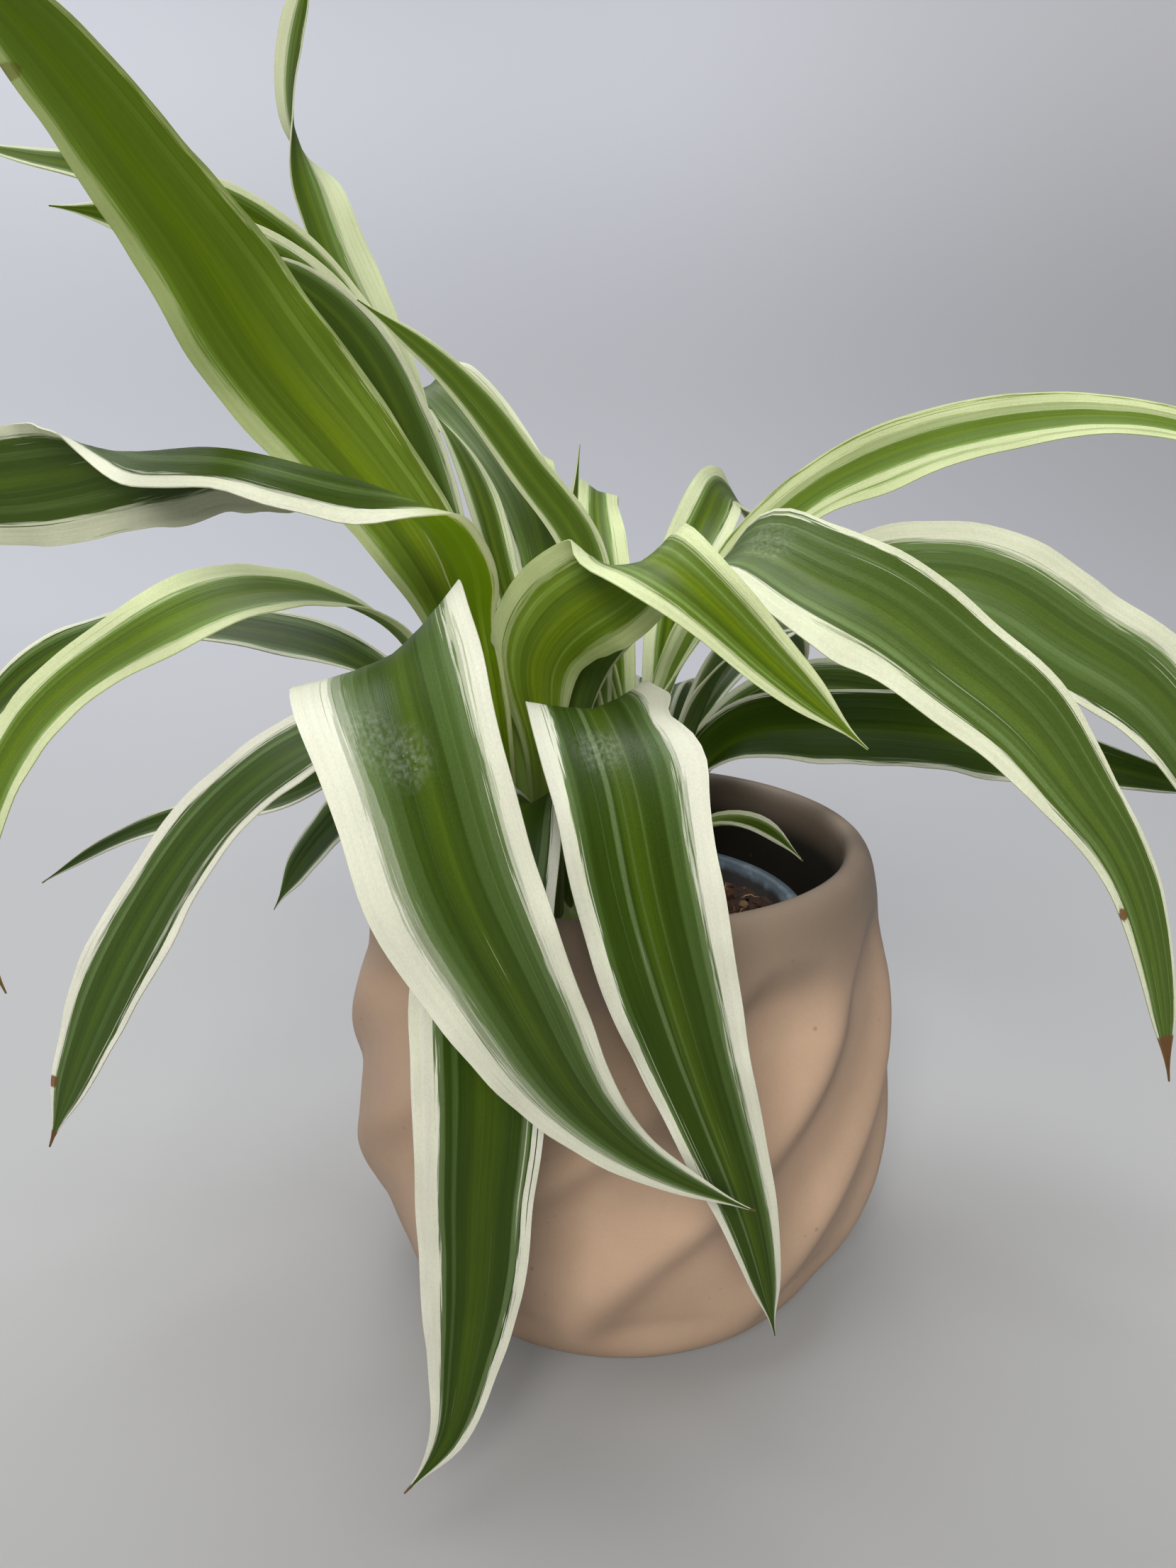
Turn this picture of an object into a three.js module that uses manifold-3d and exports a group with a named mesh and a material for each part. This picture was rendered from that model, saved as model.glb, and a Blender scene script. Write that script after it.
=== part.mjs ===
// A potted spider plant: a fluted clay cachepot, the plastic nursery pot that stands in it, the soil,
// two crowns with their roots, and the plant leaf by leaf.
// Millimetres, +Z up. The origin is the middle of the pot's underside and the front is towards -Y.
import * as THREE from 'three';
import { mergeVertices } from 'three/addons/utils/BufferGeometryUtils.js';
import Module from 'manifold-3d';

const wasm = await Module();
wasm.setup();

// Driving sizes.
const gap = 0.3; // between pieces that touch on the real plant
const pot = {
  columns: 60,
  flutes: 10,
  scoopDepth: 3.9,
  scoopTop: 91, // where the middle of a scoop starts, below the smooth collar
  scoopFoot: 3,
  archDrop: 7, // how much lower a scoop starts at its sides
  swing: 62, // degrees that a flute leans to the left on its way down
  swingTop: 92,
  swingFoot: 10,
  firstRidge: -37, // where one ridge leaves the collar, in degrees from +X
  lopsided: 0.85, // radians by which the scoops crowd together towards one side, and where that side is
  lopsidedFrom: 0.7,
  drift: 0.2, // radians by which each ridge wanders on its way up, over a height of 2 pi times driftHeight
  driftHeight: 23,
  ridgeSkew: 0.45, // how much steeper a scoop is on one side than on the other
  archEase: 11, // heights over which a scoop fades in under the collar and out at the foot
  footEase: 13,
  depthVary: 0.14, // share by which the depth differs round the pot, and where it is greatest
  depthFrom: 1.1,
  floor: 6,
  // Height and radius of the ridges, from the base up over the lip and down to the floor inside.
  outside: [[0, 38], [0.8, 41.5], [3, 45.5], [8, 50], [14, 53.6], [21, 56.5], [29, 58.6], [38, 59.6],
    [47, 59.7], [56, 59.3], [64, 58.6], [71, 57.5], [76, 56.2], [81, 55.1], [86, 54.3], [91, 53.4],
    [95.5, 52.3], [98.3, 50.6], [99, 48.8]],
  inside: [[98.5, 47.3], [96.5, 46.4], [92, 46.2], [11, 45.2], [7.5, 43], [6, 39]],
};
const nursery = {
  centre: [-2, 0],
  columns: 36,
  foot: pot.floor + gap,
  wall: 1,
  footRadius: 31,
  topRadius: 40,
  top: 82,
  lip: 2,
  lipHeight: 3,
  holeRadius: 3,
  holeRing: 19,
  holes: 6,
  holeSides: 12,
};
const soil = {
  top: 77.5,
  rings: [33, 26, 18, 9], // radii of the rings of points on top, inside the one at the wall
  lump: 1.3, // height of the lumps, in all and in the finer set, and their lengths over 2 pi
  finerShare: 0.6,
  lumpLengths: [3.1, 3.7],
  finerLengths: [1.9, 2.3],
  calmFrom: 36, // the radius beyond which the lumps are lower, by the next share
  calmShare: 0.4,
  footRound: 1.2,
};
const blade = {
  thickness: 0.7,
  baseThickness: 1.3,
  baseFold: 58, // degrees that each half of the channel rises at the leaf's base
  midFold: 13,
  foldLength: 55,
  step: 10.5, // between cross-sections along the leaf
  wideFrom: 14, // leaves this wide get five points across, the others three
  keelRound: 0.3, // share of the half width over which the channel's bottom is rounded
  wave: 0.5, // how far the margin waves up and down where a half is at least fullWaveHalf wide
  waveLength: 27,
  fullWaveHalf: 9,
  sideShift: 2, // radians by which the two margins' waves are out of step, to each side
  phaseStep: 1.7, // radians from one leaf's waves to the next leaf's
  narrowest: 1.2,
};
const stump = {
  low: 58,
  top: 100,
  profile: [[70, 0.95], [79, 1], [88, 0.8], [97, 0.5]], // height, and radius as a share of the crown's
  lowShare: 0.75,
  columns: 16,
};
const root = {
  count: 5,
  ring: 0.62, // where the roots leave the stump, as a share of its radius
  shortest: 0.7, // of the crown's root length, and how much longer each next root is
  longer: 0.06,
  profile: [0.8, 2.4, 2.8, 2], // radii at the end, above the taper, under the stump and inside it
  taper: 8,
  overlap: 4,
  columns: 6,
};
const crownGap = gap + 0.05;

// Every leaf's route, base first: x, y, z of the midrib, the leaf's width there, how far it is rolled
// about the midrib in degrees and, where a leaf isn't the usual shallow channel, how far each half
// rises. The first point is in the crown, and the blade starts at the second.
const frontCrown = {
  name: 'crown_front',
  centre: [-19, -5],
  radius: 12,
  rootLength: 46,
  leaves: {
    leaf_front_great: [[-19, -12, 80, 8, 0], [-22, -19, 106, 9, 5], [-27, -33, 125, 13, 12],
      [-31, -50, 140, 19, 22], [-35, -76, 150, 28, 31], [-30, -88, 138, 25, 25], [-25, -93, 123, 23.5, 25],
      [-18, -94, 108, 20, 25], [-10, -92, 92, 14, 25], [1, -89, 79, 7, 30], [18, -86, 68, 1.5, 35]],
    leaf_front_right: [[-12, -10, 80, 8, 0], [-9, -17, 106, 9, 0], [-7, -27, 119, 14, 0],
      [-6, -37, 129, 18, 0], [-6, -54, 138, 23, 5], [-2, -66, 131, 24, 18], [1, -73, 118, 23, 25],
      [6, -77, 99, 20, 30], [12, -78, 80, 15, 30], [18, -78, 62, 10, 25], [24, -76, 36, 1.5, 25]],
    leaf_front_hang: [[-15, -13, 80, 7, 0], [-15, -23, 105, 8, 0], [-17, -35, 115, 13, 0],
      [-19, -48, 119, 18, 0], [-22, -62, 112, 21, -10], [-24, -72, 98, 22, -15], [-24, -78, 81, 21, -20],
      [-25, -80, 66, 19, -20], [-26, -81, 48, 16, -20], [-28, -82, 33, 11, -20], [-31, -83, 21, 6, -25],
      [-38, -84, 11, 1.5, -25]],
    leaf_right_great: [[-12, -4, 80, 7, 0], [-11, -6, 106, 8, -20], [-10, -10, 126, 10, -45],
      [-5, -16, 142, 12, -50], [5, -23, 152, 14, -30], [15, -29, 158, 16, 5], [20, -33, 161, 18, 30],
      [29, -40, 158, 20, 50], [40, -47, 153, 20, 58], [51, -53, 145, 19, 60], [61, -58, 137, 16.5, 60],
      [69, -62, 127, 12.5, 60], [75, -64, 119, 9.5, 60], [81, -66, 106, 7, 60], [87, -69, 80, 1.5, 60]],
    leaf_centre_fold: [[-16, -9, 80, 7, 0], [-16, -13, 106, 8, -15], [-16, -19, 125, 13, -35],
      [-17, -25, 139, 19.5, -45], [-13, -33, 148, 22, -52], [-7, -41, 154, 22, -58],
      [-1, -48, 159, 20, -28], [2, -54, 162, 17, 28], [8, -59, 159, 13, 45], [18, -62, 150, 9.5, 52],
      [35, -66, 135, 1.5, 55]],
    leaf_reach: [[-20, -7, 80, 7, 0], [-21, -9, 108, 8, 10], [-28, -11, 132, 12, 20], [-36, -14, 155, 16, 35],
      [-46, -20, 172, 20, 40], [-59, -32, 191, 23, 40], [-64, -49, 205, 19, 40], [-67, -65, 214, 15, 35],
      [-69, -84, 222, 11, 35], [-71, -106, 228, 2, 35]],
    leaf_twist_left: [[-21, -10, 80, 7, 0, 13], [-24, -15, 106, 8, 10, 13], [-26, -19, 130, 10, 25, 13],
      [-29, -23, 150, 12, 40, 13], [-30, -35, 160, 17, 42, 13], [-35, -49, 170, 18, 26, 0],
      [-44, -60, 175, 19, 3, -54], [-56, -61, 178, 22, 13, -62], [-70, -52, 178, 26, 32, -54],
      [-85, -41, 175, 22, 60, -22], [-110, -28, 171, 20, 84, 5], [-127, -22, 170, 14, 85, 13],
      [-149, -15, 167, 1.5, 85, 13]],
    leaf_arch_left: [[-24, -8, 80, 7, 0], [-31, -9, 106, 8, 0], [-37, -11, 128, 11, -5],
      [-44, -15, 144, 12, 0], [-57, -22, 152, 14, -12], [-69, -29, 153, 15, -36], [-86, -35, 146, 14, -42],
      [-102, -40, 134, 11, -48], [-112, -43, 118, 9, -60], [-116, -45, 101, 6, -70],
      [-112, -46, 84, 1.5, -70]],
    leaf_low_left: [[-25, -3, 80, 7, 0], [-31, -3, 104, 8, 0], [-44, -1, 127, 11, -10],
      [-58, 0, 137, 13, -25], [-75, -1, 142, 13, -30], [-103, -4, 142, 12, -30], [-122, -7, 132, 10, -45],
      [-141, -9, 99, 1.5, -50]],
    leaf_drop_left: [[-22, -13, 80, 7, 0], [-30, -19, 104, 9, 0], [-39, -27, 122, 13, -5],
      [-48, -34, 129, 16, -10], [-62, -42, 125, 15, -25], [-74, -50, 114, 14, -30],
      [-82, -55, 102, 14, -35], [-88, -58, 91, 13, -40], [-94, -60, 78, 8.5, -50],
      [-100, -62, 63, 1.5, -60]],
    leaf_thin_left: [[-27, -6, 80, 6, 0], [-33, -8, 98, 7, 0], [-41, -8, 110, 8, -10], [-50, -7, 115, 9, -20],
      [-66, -7, 110, 8, -30], [-95, -6, 103, 6, -35], [-123, -5, 89, 1.5, -40]],
    leaf_back_drop: [[-25, 1, 80, 6, 0], [-32, 6, 96, 7, 0], [-41, 12, 104, 9, -20],
      [-51, 17, 104, 12, -45], [-68, 22, 91, 12, -60], [-76, 24, 81, 9, -60], [-83, 25, 70, 1.5, -60]],
    leaf_top_twist: [[-17, 2, 80, 7, 0], [-18, 7, 110, 8, 0], [-29, 18, 144, 10, 30],
      [-42, 27, 176, 11, 60], [-53, 33, 202, 12, 95], [-60, 35, 217, 12, 115], [-65, 36, 231, 10, 155],
      [-69, 37, 242, 8, 243], [-69, 37, 251, 9, 262], [-61, 33, 272, 1.5, 280]],
    leaf_back_high: [[-21, 3, 80, 7, 0], [-25, 8, 108, 8, 0], [-34, 13, 146, 10, -20],
      [-44, 15, 180, 12, -50], [-54, 15, 200, 11, -80], [-63, 11, 212, 10, -90], [-76, 4, 221, 9, -90],
      [-97, -10, 225, 6, -60], [-102, -16, 225, 4.5, -50], [-112, -22, 227, 1.5, -45]],
    leaf_back_tip: [[-24, 0, 80, 7, 0], [-28, 1, 108, 8, 0], [-35, 2, 145, 11, -25], [-42, 1, 180, 12, -60],
      [-49, -3, 194, 11, -90], [-57, -7, 204, 11, -95], [-65, -11, 210, 10, -95], [-82, -20, 215, 7, -100],
      [-95, -27, 216, 1.5, -105]],
    leaf_dark_back: [[-21, -2, 80, 7, 0], [-24, -4, 110, 8, 10], [-30, -6, 142, 10, 20],
      [-37, -9, 170, 11, 35], [-42, -12, 184, 11, 55], [-48, -16, 196, 10, 60], [-57, -21, 205, 7, 60],
      [-67, -28, 210, 1.5, 60]],
    leaf_pale_left: [[-22, 0, 80, 6, 0], [-27, 8, 102, 8, 0], [-32, 12, 122, 10, -25],
      [-34, 22, 138, 11, -30], [-35, 36, 144, 12, -20], [-37, 56, 142, 12, -10], [-39, 80, 126, 11, 0],
      [-40, 98, 104, 8, 10], [-40, 106, 86, 1.5, 10]],
    leaf_inner_fold: [[-14, 1, 80, 6, 0], [-14, 3, 110, 7, 0], [-20, 8, 132, 9, 0], [-26, 12, 153, 9, 0],
      [-30, 17, 167, 9, 0], [-35, 22, 177, 6, 0], [-41, 28, 185, 1.5, 0]],
    leaf_low_back: [[-18, 4, 80, 7, 0], [-19, 14, 101, 9, 0], [-20, 29, 118, 15, 0], [-20, 48, 121, 18, 0],
      [-24, 68, 114, 18, 5], [-28, 84, 100, 14, 5], [-32, 94, 82, 9, 5], [-34, 100, 62, 1.5, 5]],
  },
};
const backCrown = {
  name: 'crown_back',
  centre: [1, 8],
  radius: 9.5,
  rootLength: 40,
  leaves: {
    leaf_right_wide: [[5, 2, 80, 8, 0], [9, -1, 102, 9, 0], [14, -4, 121, 13, 10], [21, -7, 138, 17, 15],
      [36, -13, 150, 20, 35], [52, -20, 155, 22, 55], [67, -25, 153, 22, 60], [78, -29, 146, 22, 60],
      [91, -32, 138, 20, 60], [102, -35, 125, 16, 60], [112, -37, 108, 10, 60], [120, -38, 88, 1.5, 60]],
    leaf_right_high: [[1, 2, 80, 7, 0], [3, 0, 108, 8, 0], [9, -2, 130, 10, 30], [17, -4, 148, 10, 55],
      [32, -8, 167, 10, 75], [42, -12, 174, 11, 75], [57, -18, 180, 11, 75], [73, -23, 183, 9, 70],
      [92, -28, 182, 6, 60], [108, -32, 174, 4.5, 60], [118, -35, 161, 1.5, 60]],
    leaf_right_low: [[7, 6, 80, 7, 0], [12, 5, 98, 9, 10], [17, 2, 111, 14, 30], [24, -1, 119, 17, 40],
      [36, -4, 122, 18, 45], [58, -6, 122, 18, 45], [80, -8, 119, 16, 45], [101, -10, 115, 9, 45],
      [121, -11, 110, 1.5, 45]],
    leaf_right_under: [[7, 10, 80, 7, 0], [13, 12, 102, 8, 10], [24, 13, 120, 11, 30], [39, 13, 127, 13, 45],
      [57, 12, 126, 13, 45], [83, 9, 118, 10, 45], [110, 6, 108, 1.5, 45]],
    leaf_small: [[6, 4, 80, 4, 0], [12, -2, 94, 5, 0], [18, -3, 101, 5, 20], [27, -2, 101, 6, 40],
      [39, 0, 92, 1.5, 45]],
    leaf_peak_right: [[4, 13, 80, 7, 0], [7, 19, 106, 8, 0], [10, 26, 130, 11, 10], [15, 33, 152, 13, 25],
      [21, 43, 163, 14, 40], [25, 55, 167, 13, 50], [33, 68, 160, 12, 35], [44, 84, 147, 9, 10],
      [56, 98, 127, 1.5, -10]],
    leaf_pale_back: [[0, 14, 80, 7, 0], [1, 20, 108, 8, 0], [-1, 29, 132, 11, 0], [-4, 39, 154, 12, 0],
      [-5, 50, 162, 11, 15], [-5, 64, 166, 10.5, 25], [-4, 84, 156, 10, 10], [-3, 104, 135, 8, 5],
      [-1, 116, 114, 1.5, 5]],
    leaf_young: [[1, 9, 80, 5, 0], [0, 11, 112, 6, 0], [-6, 13, 140, 6, 0], [-11, 13, 161, 5, 0],
      [-10, 13, 170, 3.5, 0], [-9, 13, 178, 1.5, 0]],
    leaf_long_thin: [[-3, 6, 80, 7, 0], [-5, 5, 112, 8, -20], [-6, 6, 138, 9, -70], [-9, 6, 159, 9, -110],
      [-18, 2, 172, 8, -110], [-26, -2, 183, 7, -110], [-35, -7, 193, 5, -110], [-48, -14, 203, 1.5, -110]],
    leaf_broad_back: [[-5, 10, 80, 8, 0], [-11, 15, 106, 9, 0], [-15, 21, 136, 12, -15],
      [-20, 28, 164, 14, -30], [-30, 38, 180, 16, -40], [-43, 54, 191, 15, -35], [-49, 74, 184, 13, -20],
      [-53, 92, 167, 9, -5], [-56, 106, 147, 1.5, 0]],
    leaf_bright_back: [[-3, 12, 80, 7, 0], [-6, 20, 108, 8, 0], [-10, 26, 136, 11, 0],
      [-15, 31, 160, 13, 15], [-20, 42, 172, 14, 30], [-23, 60, 177, 13, 36], [-24, 82, 169, 11, 25],
      [-25, 102, 153, 8, 5], [-25, 114, 132, 1.5, 0]],
    leaf_back_right: [[3, 12, 80, 7, 0], [8, 25, 104, 9, 0], [10, 44, 117, 15, 0], [13, 64, 116, 18, 0],
      [16, 82, 104, 15, 0], [19, 94, 86, 10, 0], [21, 101, 64, 1.5, 0]],
    leaf_back_far: [[6, 12, 80, 7, 0], [13, 20, 104, 9, 0], [23, 34, 122, 13, 0], [34, 50, 130, 15, 0],
      [42, 66, 130, 14, 0], [48, 80, 122, 10, 0], [52, 92, 107, 1.5, 0]],
  },
};

const colours = {
  clay: 0xc09a7e,
  plastic: 0x8fa3ad,
  peat: 0x3a2a22,
  crown: 0xb9c79a,
  leaf: 0x4f7a34,
};

// Small sums.
const smooth = (x) => {
  const t = Math.min(1, Math.max(0, x));
  return t * t * (3 - 2 * t);
};
const mix = (a, b, t) => a + (b - a) * t;

// A natural cubic spline through values at rising knots, as a function of the knot coordinate.
function naturalSpline(knots, values) {
  const last = knots.length - 1;
  const curve = new Array(last + 1).fill(0);
  const carry = new Array(last + 1).fill(0);
  for (let i = 1; i < last; i += 1) {
    const before = knots[i] - knots[i - 1];
    const after = knots[i + 1] - knots[i];
    const bend = 6 * ((values[i + 1] - values[i]) / after - (values[i] - values[i - 1]) / before);
    const pivot = 2 * (before + after) - before * carry[i - 1];
    carry[i] = after / pivot;
    curve[i] = (bend - before * curve[i - 1]) / pivot;
  }
  for (let i = last - 1; i > 0; i -= 1) curve[i] -= carry[i] * curve[i + 1];
  return (x) => {
    let i = 0;
    while (i < last - 1 && x > knots[i + 1]) i += 1;
    const span = knots[i + 1] - knots[i];
    const right = (x - knots[i]) / span;
    const left = 1 - right;
    const bow = ((left ** 3 - left) * curve[i] + (right ** 3 - right) * curve[i + 1]) * span * span / 6;
    return left * values[i] + right * values[i + 1] + bow;
  };
}

// Meshes in and out of the solid modeller.
function geometryFrom(points, faces) {
  const geometry = new THREE.BufferGeometry();
  geometry.setAttribute('position', new THREE.Float32BufferAttribute(points.flat(), 3));
  geometry.setIndex(faces.flat());
  return geometry;
}

function solidFrom(geometry) {
  const bare = geometry.clone();
  bare.deleteAttribute('normal');
  bare.deleteAttribute('uv');
  const merged = mergeVertices(bare, 1e-5);
  return new wasm.Manifold(new wasm.Mesh({
    numProp: 3,
    vertProperties: new Float32Array(merged.attributes.position.array),
    triVerts: new Uint32Array(merged.index.array),
  }));
}

function geometryOf(solid) {
  const { numProp, vertProperties, triVerts } = solid.getMesh();
  const points = [];
  for (let i = 0; i < vertProperties.length; i += numProp) {
    points.push([vertProperties[i], vertProperties[i + 1], vertProperties[i + 2]]);
  }
  return geometryFrom(points, [...triVerts]);
}

function largestBody(solid) {
  const bodies = solid.decompose().sort((a, b) => b.volume() - a.volume());
  return bodies[0];
}

// A closed surface around the Z axis. Each ring gives radius and height at an angle, and the first
// and last heights close it on the axis.
function turned(rings, columns, bottom, top, centre = [0, 0]) {
  const points = [[centre[0], centre[1], bottom]];
  for (const ring of rings) {
    for (let i = 0; i < columns; i += 1) {
      const angle = (2 * Math.PI * i) / columns;
      const [radius, height] = ring(angle);
      points.push([centre[0] + radius * Math.cos(angle), centre[1] + radius * Math.sin(angle), height]);
    }
  }
  points.push([centre[0], centre[1], top]);
  const faces = [];
  const at = (ring, i) => 1 + ring * columns + (i % columns);
  for (let i = 0; i < columns; i += 1) {
    faces.push([0, at(0, i + 1), at(0, i)]);
    for (let ring = 0; ring < rings.length - 1; ring += 1) {
      faces.push([at(ring, i), at(ring, i + 1), at(ring + 1, i + 1)]);
      faces.push([at(ring, i), at(ring + 1, i + 1), at(ring + 1, i)]);
    }
    faces.push([at(rings.length - 1, i), at(rings.length - 1, i + 1), points.length - 1]);
  }
  return geometryFrom(points, faces);
}

const plainRings = (profile) => profile.map(([height, radius]) => () => [radius, height]);

// The clay cachepot: leaning scoops pressed into a round wall, deepest at mid height.
function flutedRadius(angle, height, ridgeRadius) {
  const lean = pot.swing * smooth((pot.swingTop - height) / (pot.swingTop - pot.swingFoot));
  const turn = pot.flutes * (angle + ((lean - pot.firstRidge) * Math.PI) / 180);
  const crowding = pot.lopsided * (1 - Math.cos(angle + pot.lopsidedFrom));
  const drift = pot.drift * Math.sin(3 * angle + height / pot.driftHeight);
  const scoop = 0.5 - 0.5 * Math.cos(turn + crowding + drift + pot.ridgeSkew * Math.sin(turn));
  const arch = smooth((pot.scoopTop - pot.archDrop * (1 - scoop) - height) / pot.archEase);
  const foot = smooth((height - pot.scoopFoot) / pot.footEase);
  const strength = 1 + pot.depthVary * Math.sin(2 * angle - pot.depthFrom);
  return ridgeRadius - pot.scoopDepth * strength * scoop * arch * foot;
}

function cachepot() {
  const fluted = ([height, ridge]) => (angle) => [flutedRadius(angle, height, ridge), height];
  return turned([...pot.outside.map(fluted), ...plainRings(pot.inside)], pot.columns, 0, pot.floor);
}

// The thin pot that the plant was bought in, with a turned-out lip and drain holes in its floor.
function nurseryPot() {
  const { foot, wall, footRadius, topRadius, top, lip, lipHeight, holeRadius, holeSides } = nursery;
  const profile = [[foot, footRadius - 1], [foot + 1, footRadius], [top - lipHeight, topRadius],
    [top - lipHeight, topRadius + lip], [top, topRadius + lip], [top, topRadius - wall],
    [foot + 2, footRadius - wall], [foot + wall, footRadius - wall - 1]];
  const shell = solidFrom(turned(plainRings(profile), nursery.columns, foot, foot + wall, nursery.centre));
  const holes = [];
  for (let i = 0; i < nursery.holes; i += 1) {
    const angle = (2 * Math.PI * i) / nursery.holes;
    const hole = new THREE.CylinderGeometry(holeRadius, holeRadius, 4 * wall, holeSides);
    hole.rotateX(Math.PI / 2);
    hole.translate(nursery.centre[0] + nursery.holeRing * Math.cos(angle),
      nursery.centre[1] + nursery.holeRing * Math.sin(angle), foot + wall / 2);
    holes.push(solidFrom(hole));
  }
  return geometryOf(shell.subtract(wasm.Manifold.union(holes)));
}

// The radius of what fills the nursery pot, just clear of its wall.
function nurseryFill(height) {
  const share = (height - nursery.foot - 2) / (nursery.top - nursery.foot - 2);
  return mix(nursery.footRadius, nursery.topRadius, share) - nursery.wall - gap;
}

// A crown: the stump that the leaf bases wrap, and the fleshy roots under it. What grows by a gap is cut
// from the pieces around it.
function stumpSolid(crown, grow) {
  const profile = [[stump.low - grow, stump.lowShare], ...stump.profile]
    .map(([height, share]) => [height, share * crown.radius + grow]);
  const [bottom, top] = [stump.low - grow, stump.top + grow];
  return solidFrom(turned(plainRings(profile), stump.columns, bottom, top, crown.centre));
}

function rootsSolid(crown, grow) {
  const out = root.ring * crown.radius;
  const [tip, low, high, neck] = root.profile;
  const solids = [];
  for (let i = 0; i < root.count; i += 1) {
    const angle = (2 * Math.PI * (i + 0.5)) / root.count;
    const centre = [crown.centre[0] + out * Math.cos(angle), crown.centre[1] + out * Math.sin(angle)];
    const end = stump.low - crown.rootLength * (root.shortest + root.longer * i);
    const profile = [[end - grow, tip + grow], [end + root.taper, low + grow],
      [stump.low - root.taper, high + grow], [stump.low + root.overlap, neck + grow]];
    const top = stump.low + root.overlap + 1;
    solids.push(solidFrom(turned(plainRings(profile), root.columns, end - 1 - grow, top, centre)));
  }
  return wasm.Manifold.union(solids);
}

// The soil: a plug that fills the nursery pot, lumpy on top, with plain holes for the crowns.
function soilPlug() {
  const bottom = nursery.foot + nursery.wall + gap;
  const lumps = (radius) => (angle) => {
    const x = radius * Math.cos(angle);
    const y = radius * Math.sin(angle);
    const long = Math.sin(x / soil.lumpLengths[0] + 1) * Math.cos(y / soil.lumpLengths[1]);
    const finer = soil.finerShare * Math.sin(x / soil.finerLengths[0] - y / soil.finerLengths[1]);
    const calm = radius > soil.calmFrom ? soil.calmShare : 1;
    return [radius, soil.top + soil.lump * (long + finer) * calm];
  };
  const rim = nurseryFill(soil.top);
  const foot = [[bottom, nurseryFill(bottom) - soil.footRound], [bottom + 2, nurseryFill(bottom + 2)]];
  const rings = [...plainRings(foot), lumps(rim), ...soil.rings.map(lumps)];
  const plug = solidFrom(turned(rings, nursery.columns, bottom, soil.top, nursery.centre));
  const holes = [frontCrown, backCrown].flatMap((crown) => [stumpSolid(crown, gap), rootsSolid(crown, gap)]);
  return geometryOf(largestBody(plug.subtract(wasm.Manifold.union(holes))));
}

// A leaf's midrib, width, frame and fold at any length along it.
function leafLine(route) {
  const knots = [0];
  for (let i = 1; i < route.length; i += 1) {
    const [x, y, z] = route[i].map((value, k) => value - route[i - 1][k]);
    knots.push(knots[i - 1] + Math.hypot(x, y, z));
  }
  const length = knots[knots.length - 1];
  const full = route.map((row) => [...row, blade.midFold]);
  const spline = [0, 1, 2, 3, 4, 5].map((k) => naturalSpline(knots, full.map((row) => row[k])));
  const point = (s) => new THREE.Vector3(spline[0](s), spline[1](s), spline[2](s));
  const tip = route[route.length - 1];
  const heading = new THREE.Vector3(tip[0] - route[0][0], tip[1] - route[0][1], 0).normalize();
  const side = heading.cross(new THREE.Vector3(0, 0, 1));
  const frame = (s) => {
    const along = point(Math.min(length, s + 0.5)).sub(point(Math.max(0, s - 0.5))).normalize();
    const across = side.clone().addScaledVector(along, -side.dot(along)).normalize();
    across.applyAxisAngle(along, (spline[4](s) * Math.PI) / 180);
    return { at: point(s), along, across, up: across.clone().cross(along) };
  };
  return { knots, length, frame, width: (s) => Math.max(blade.narrowest, spline[3](s)), fold: spline[5] };
}

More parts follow.
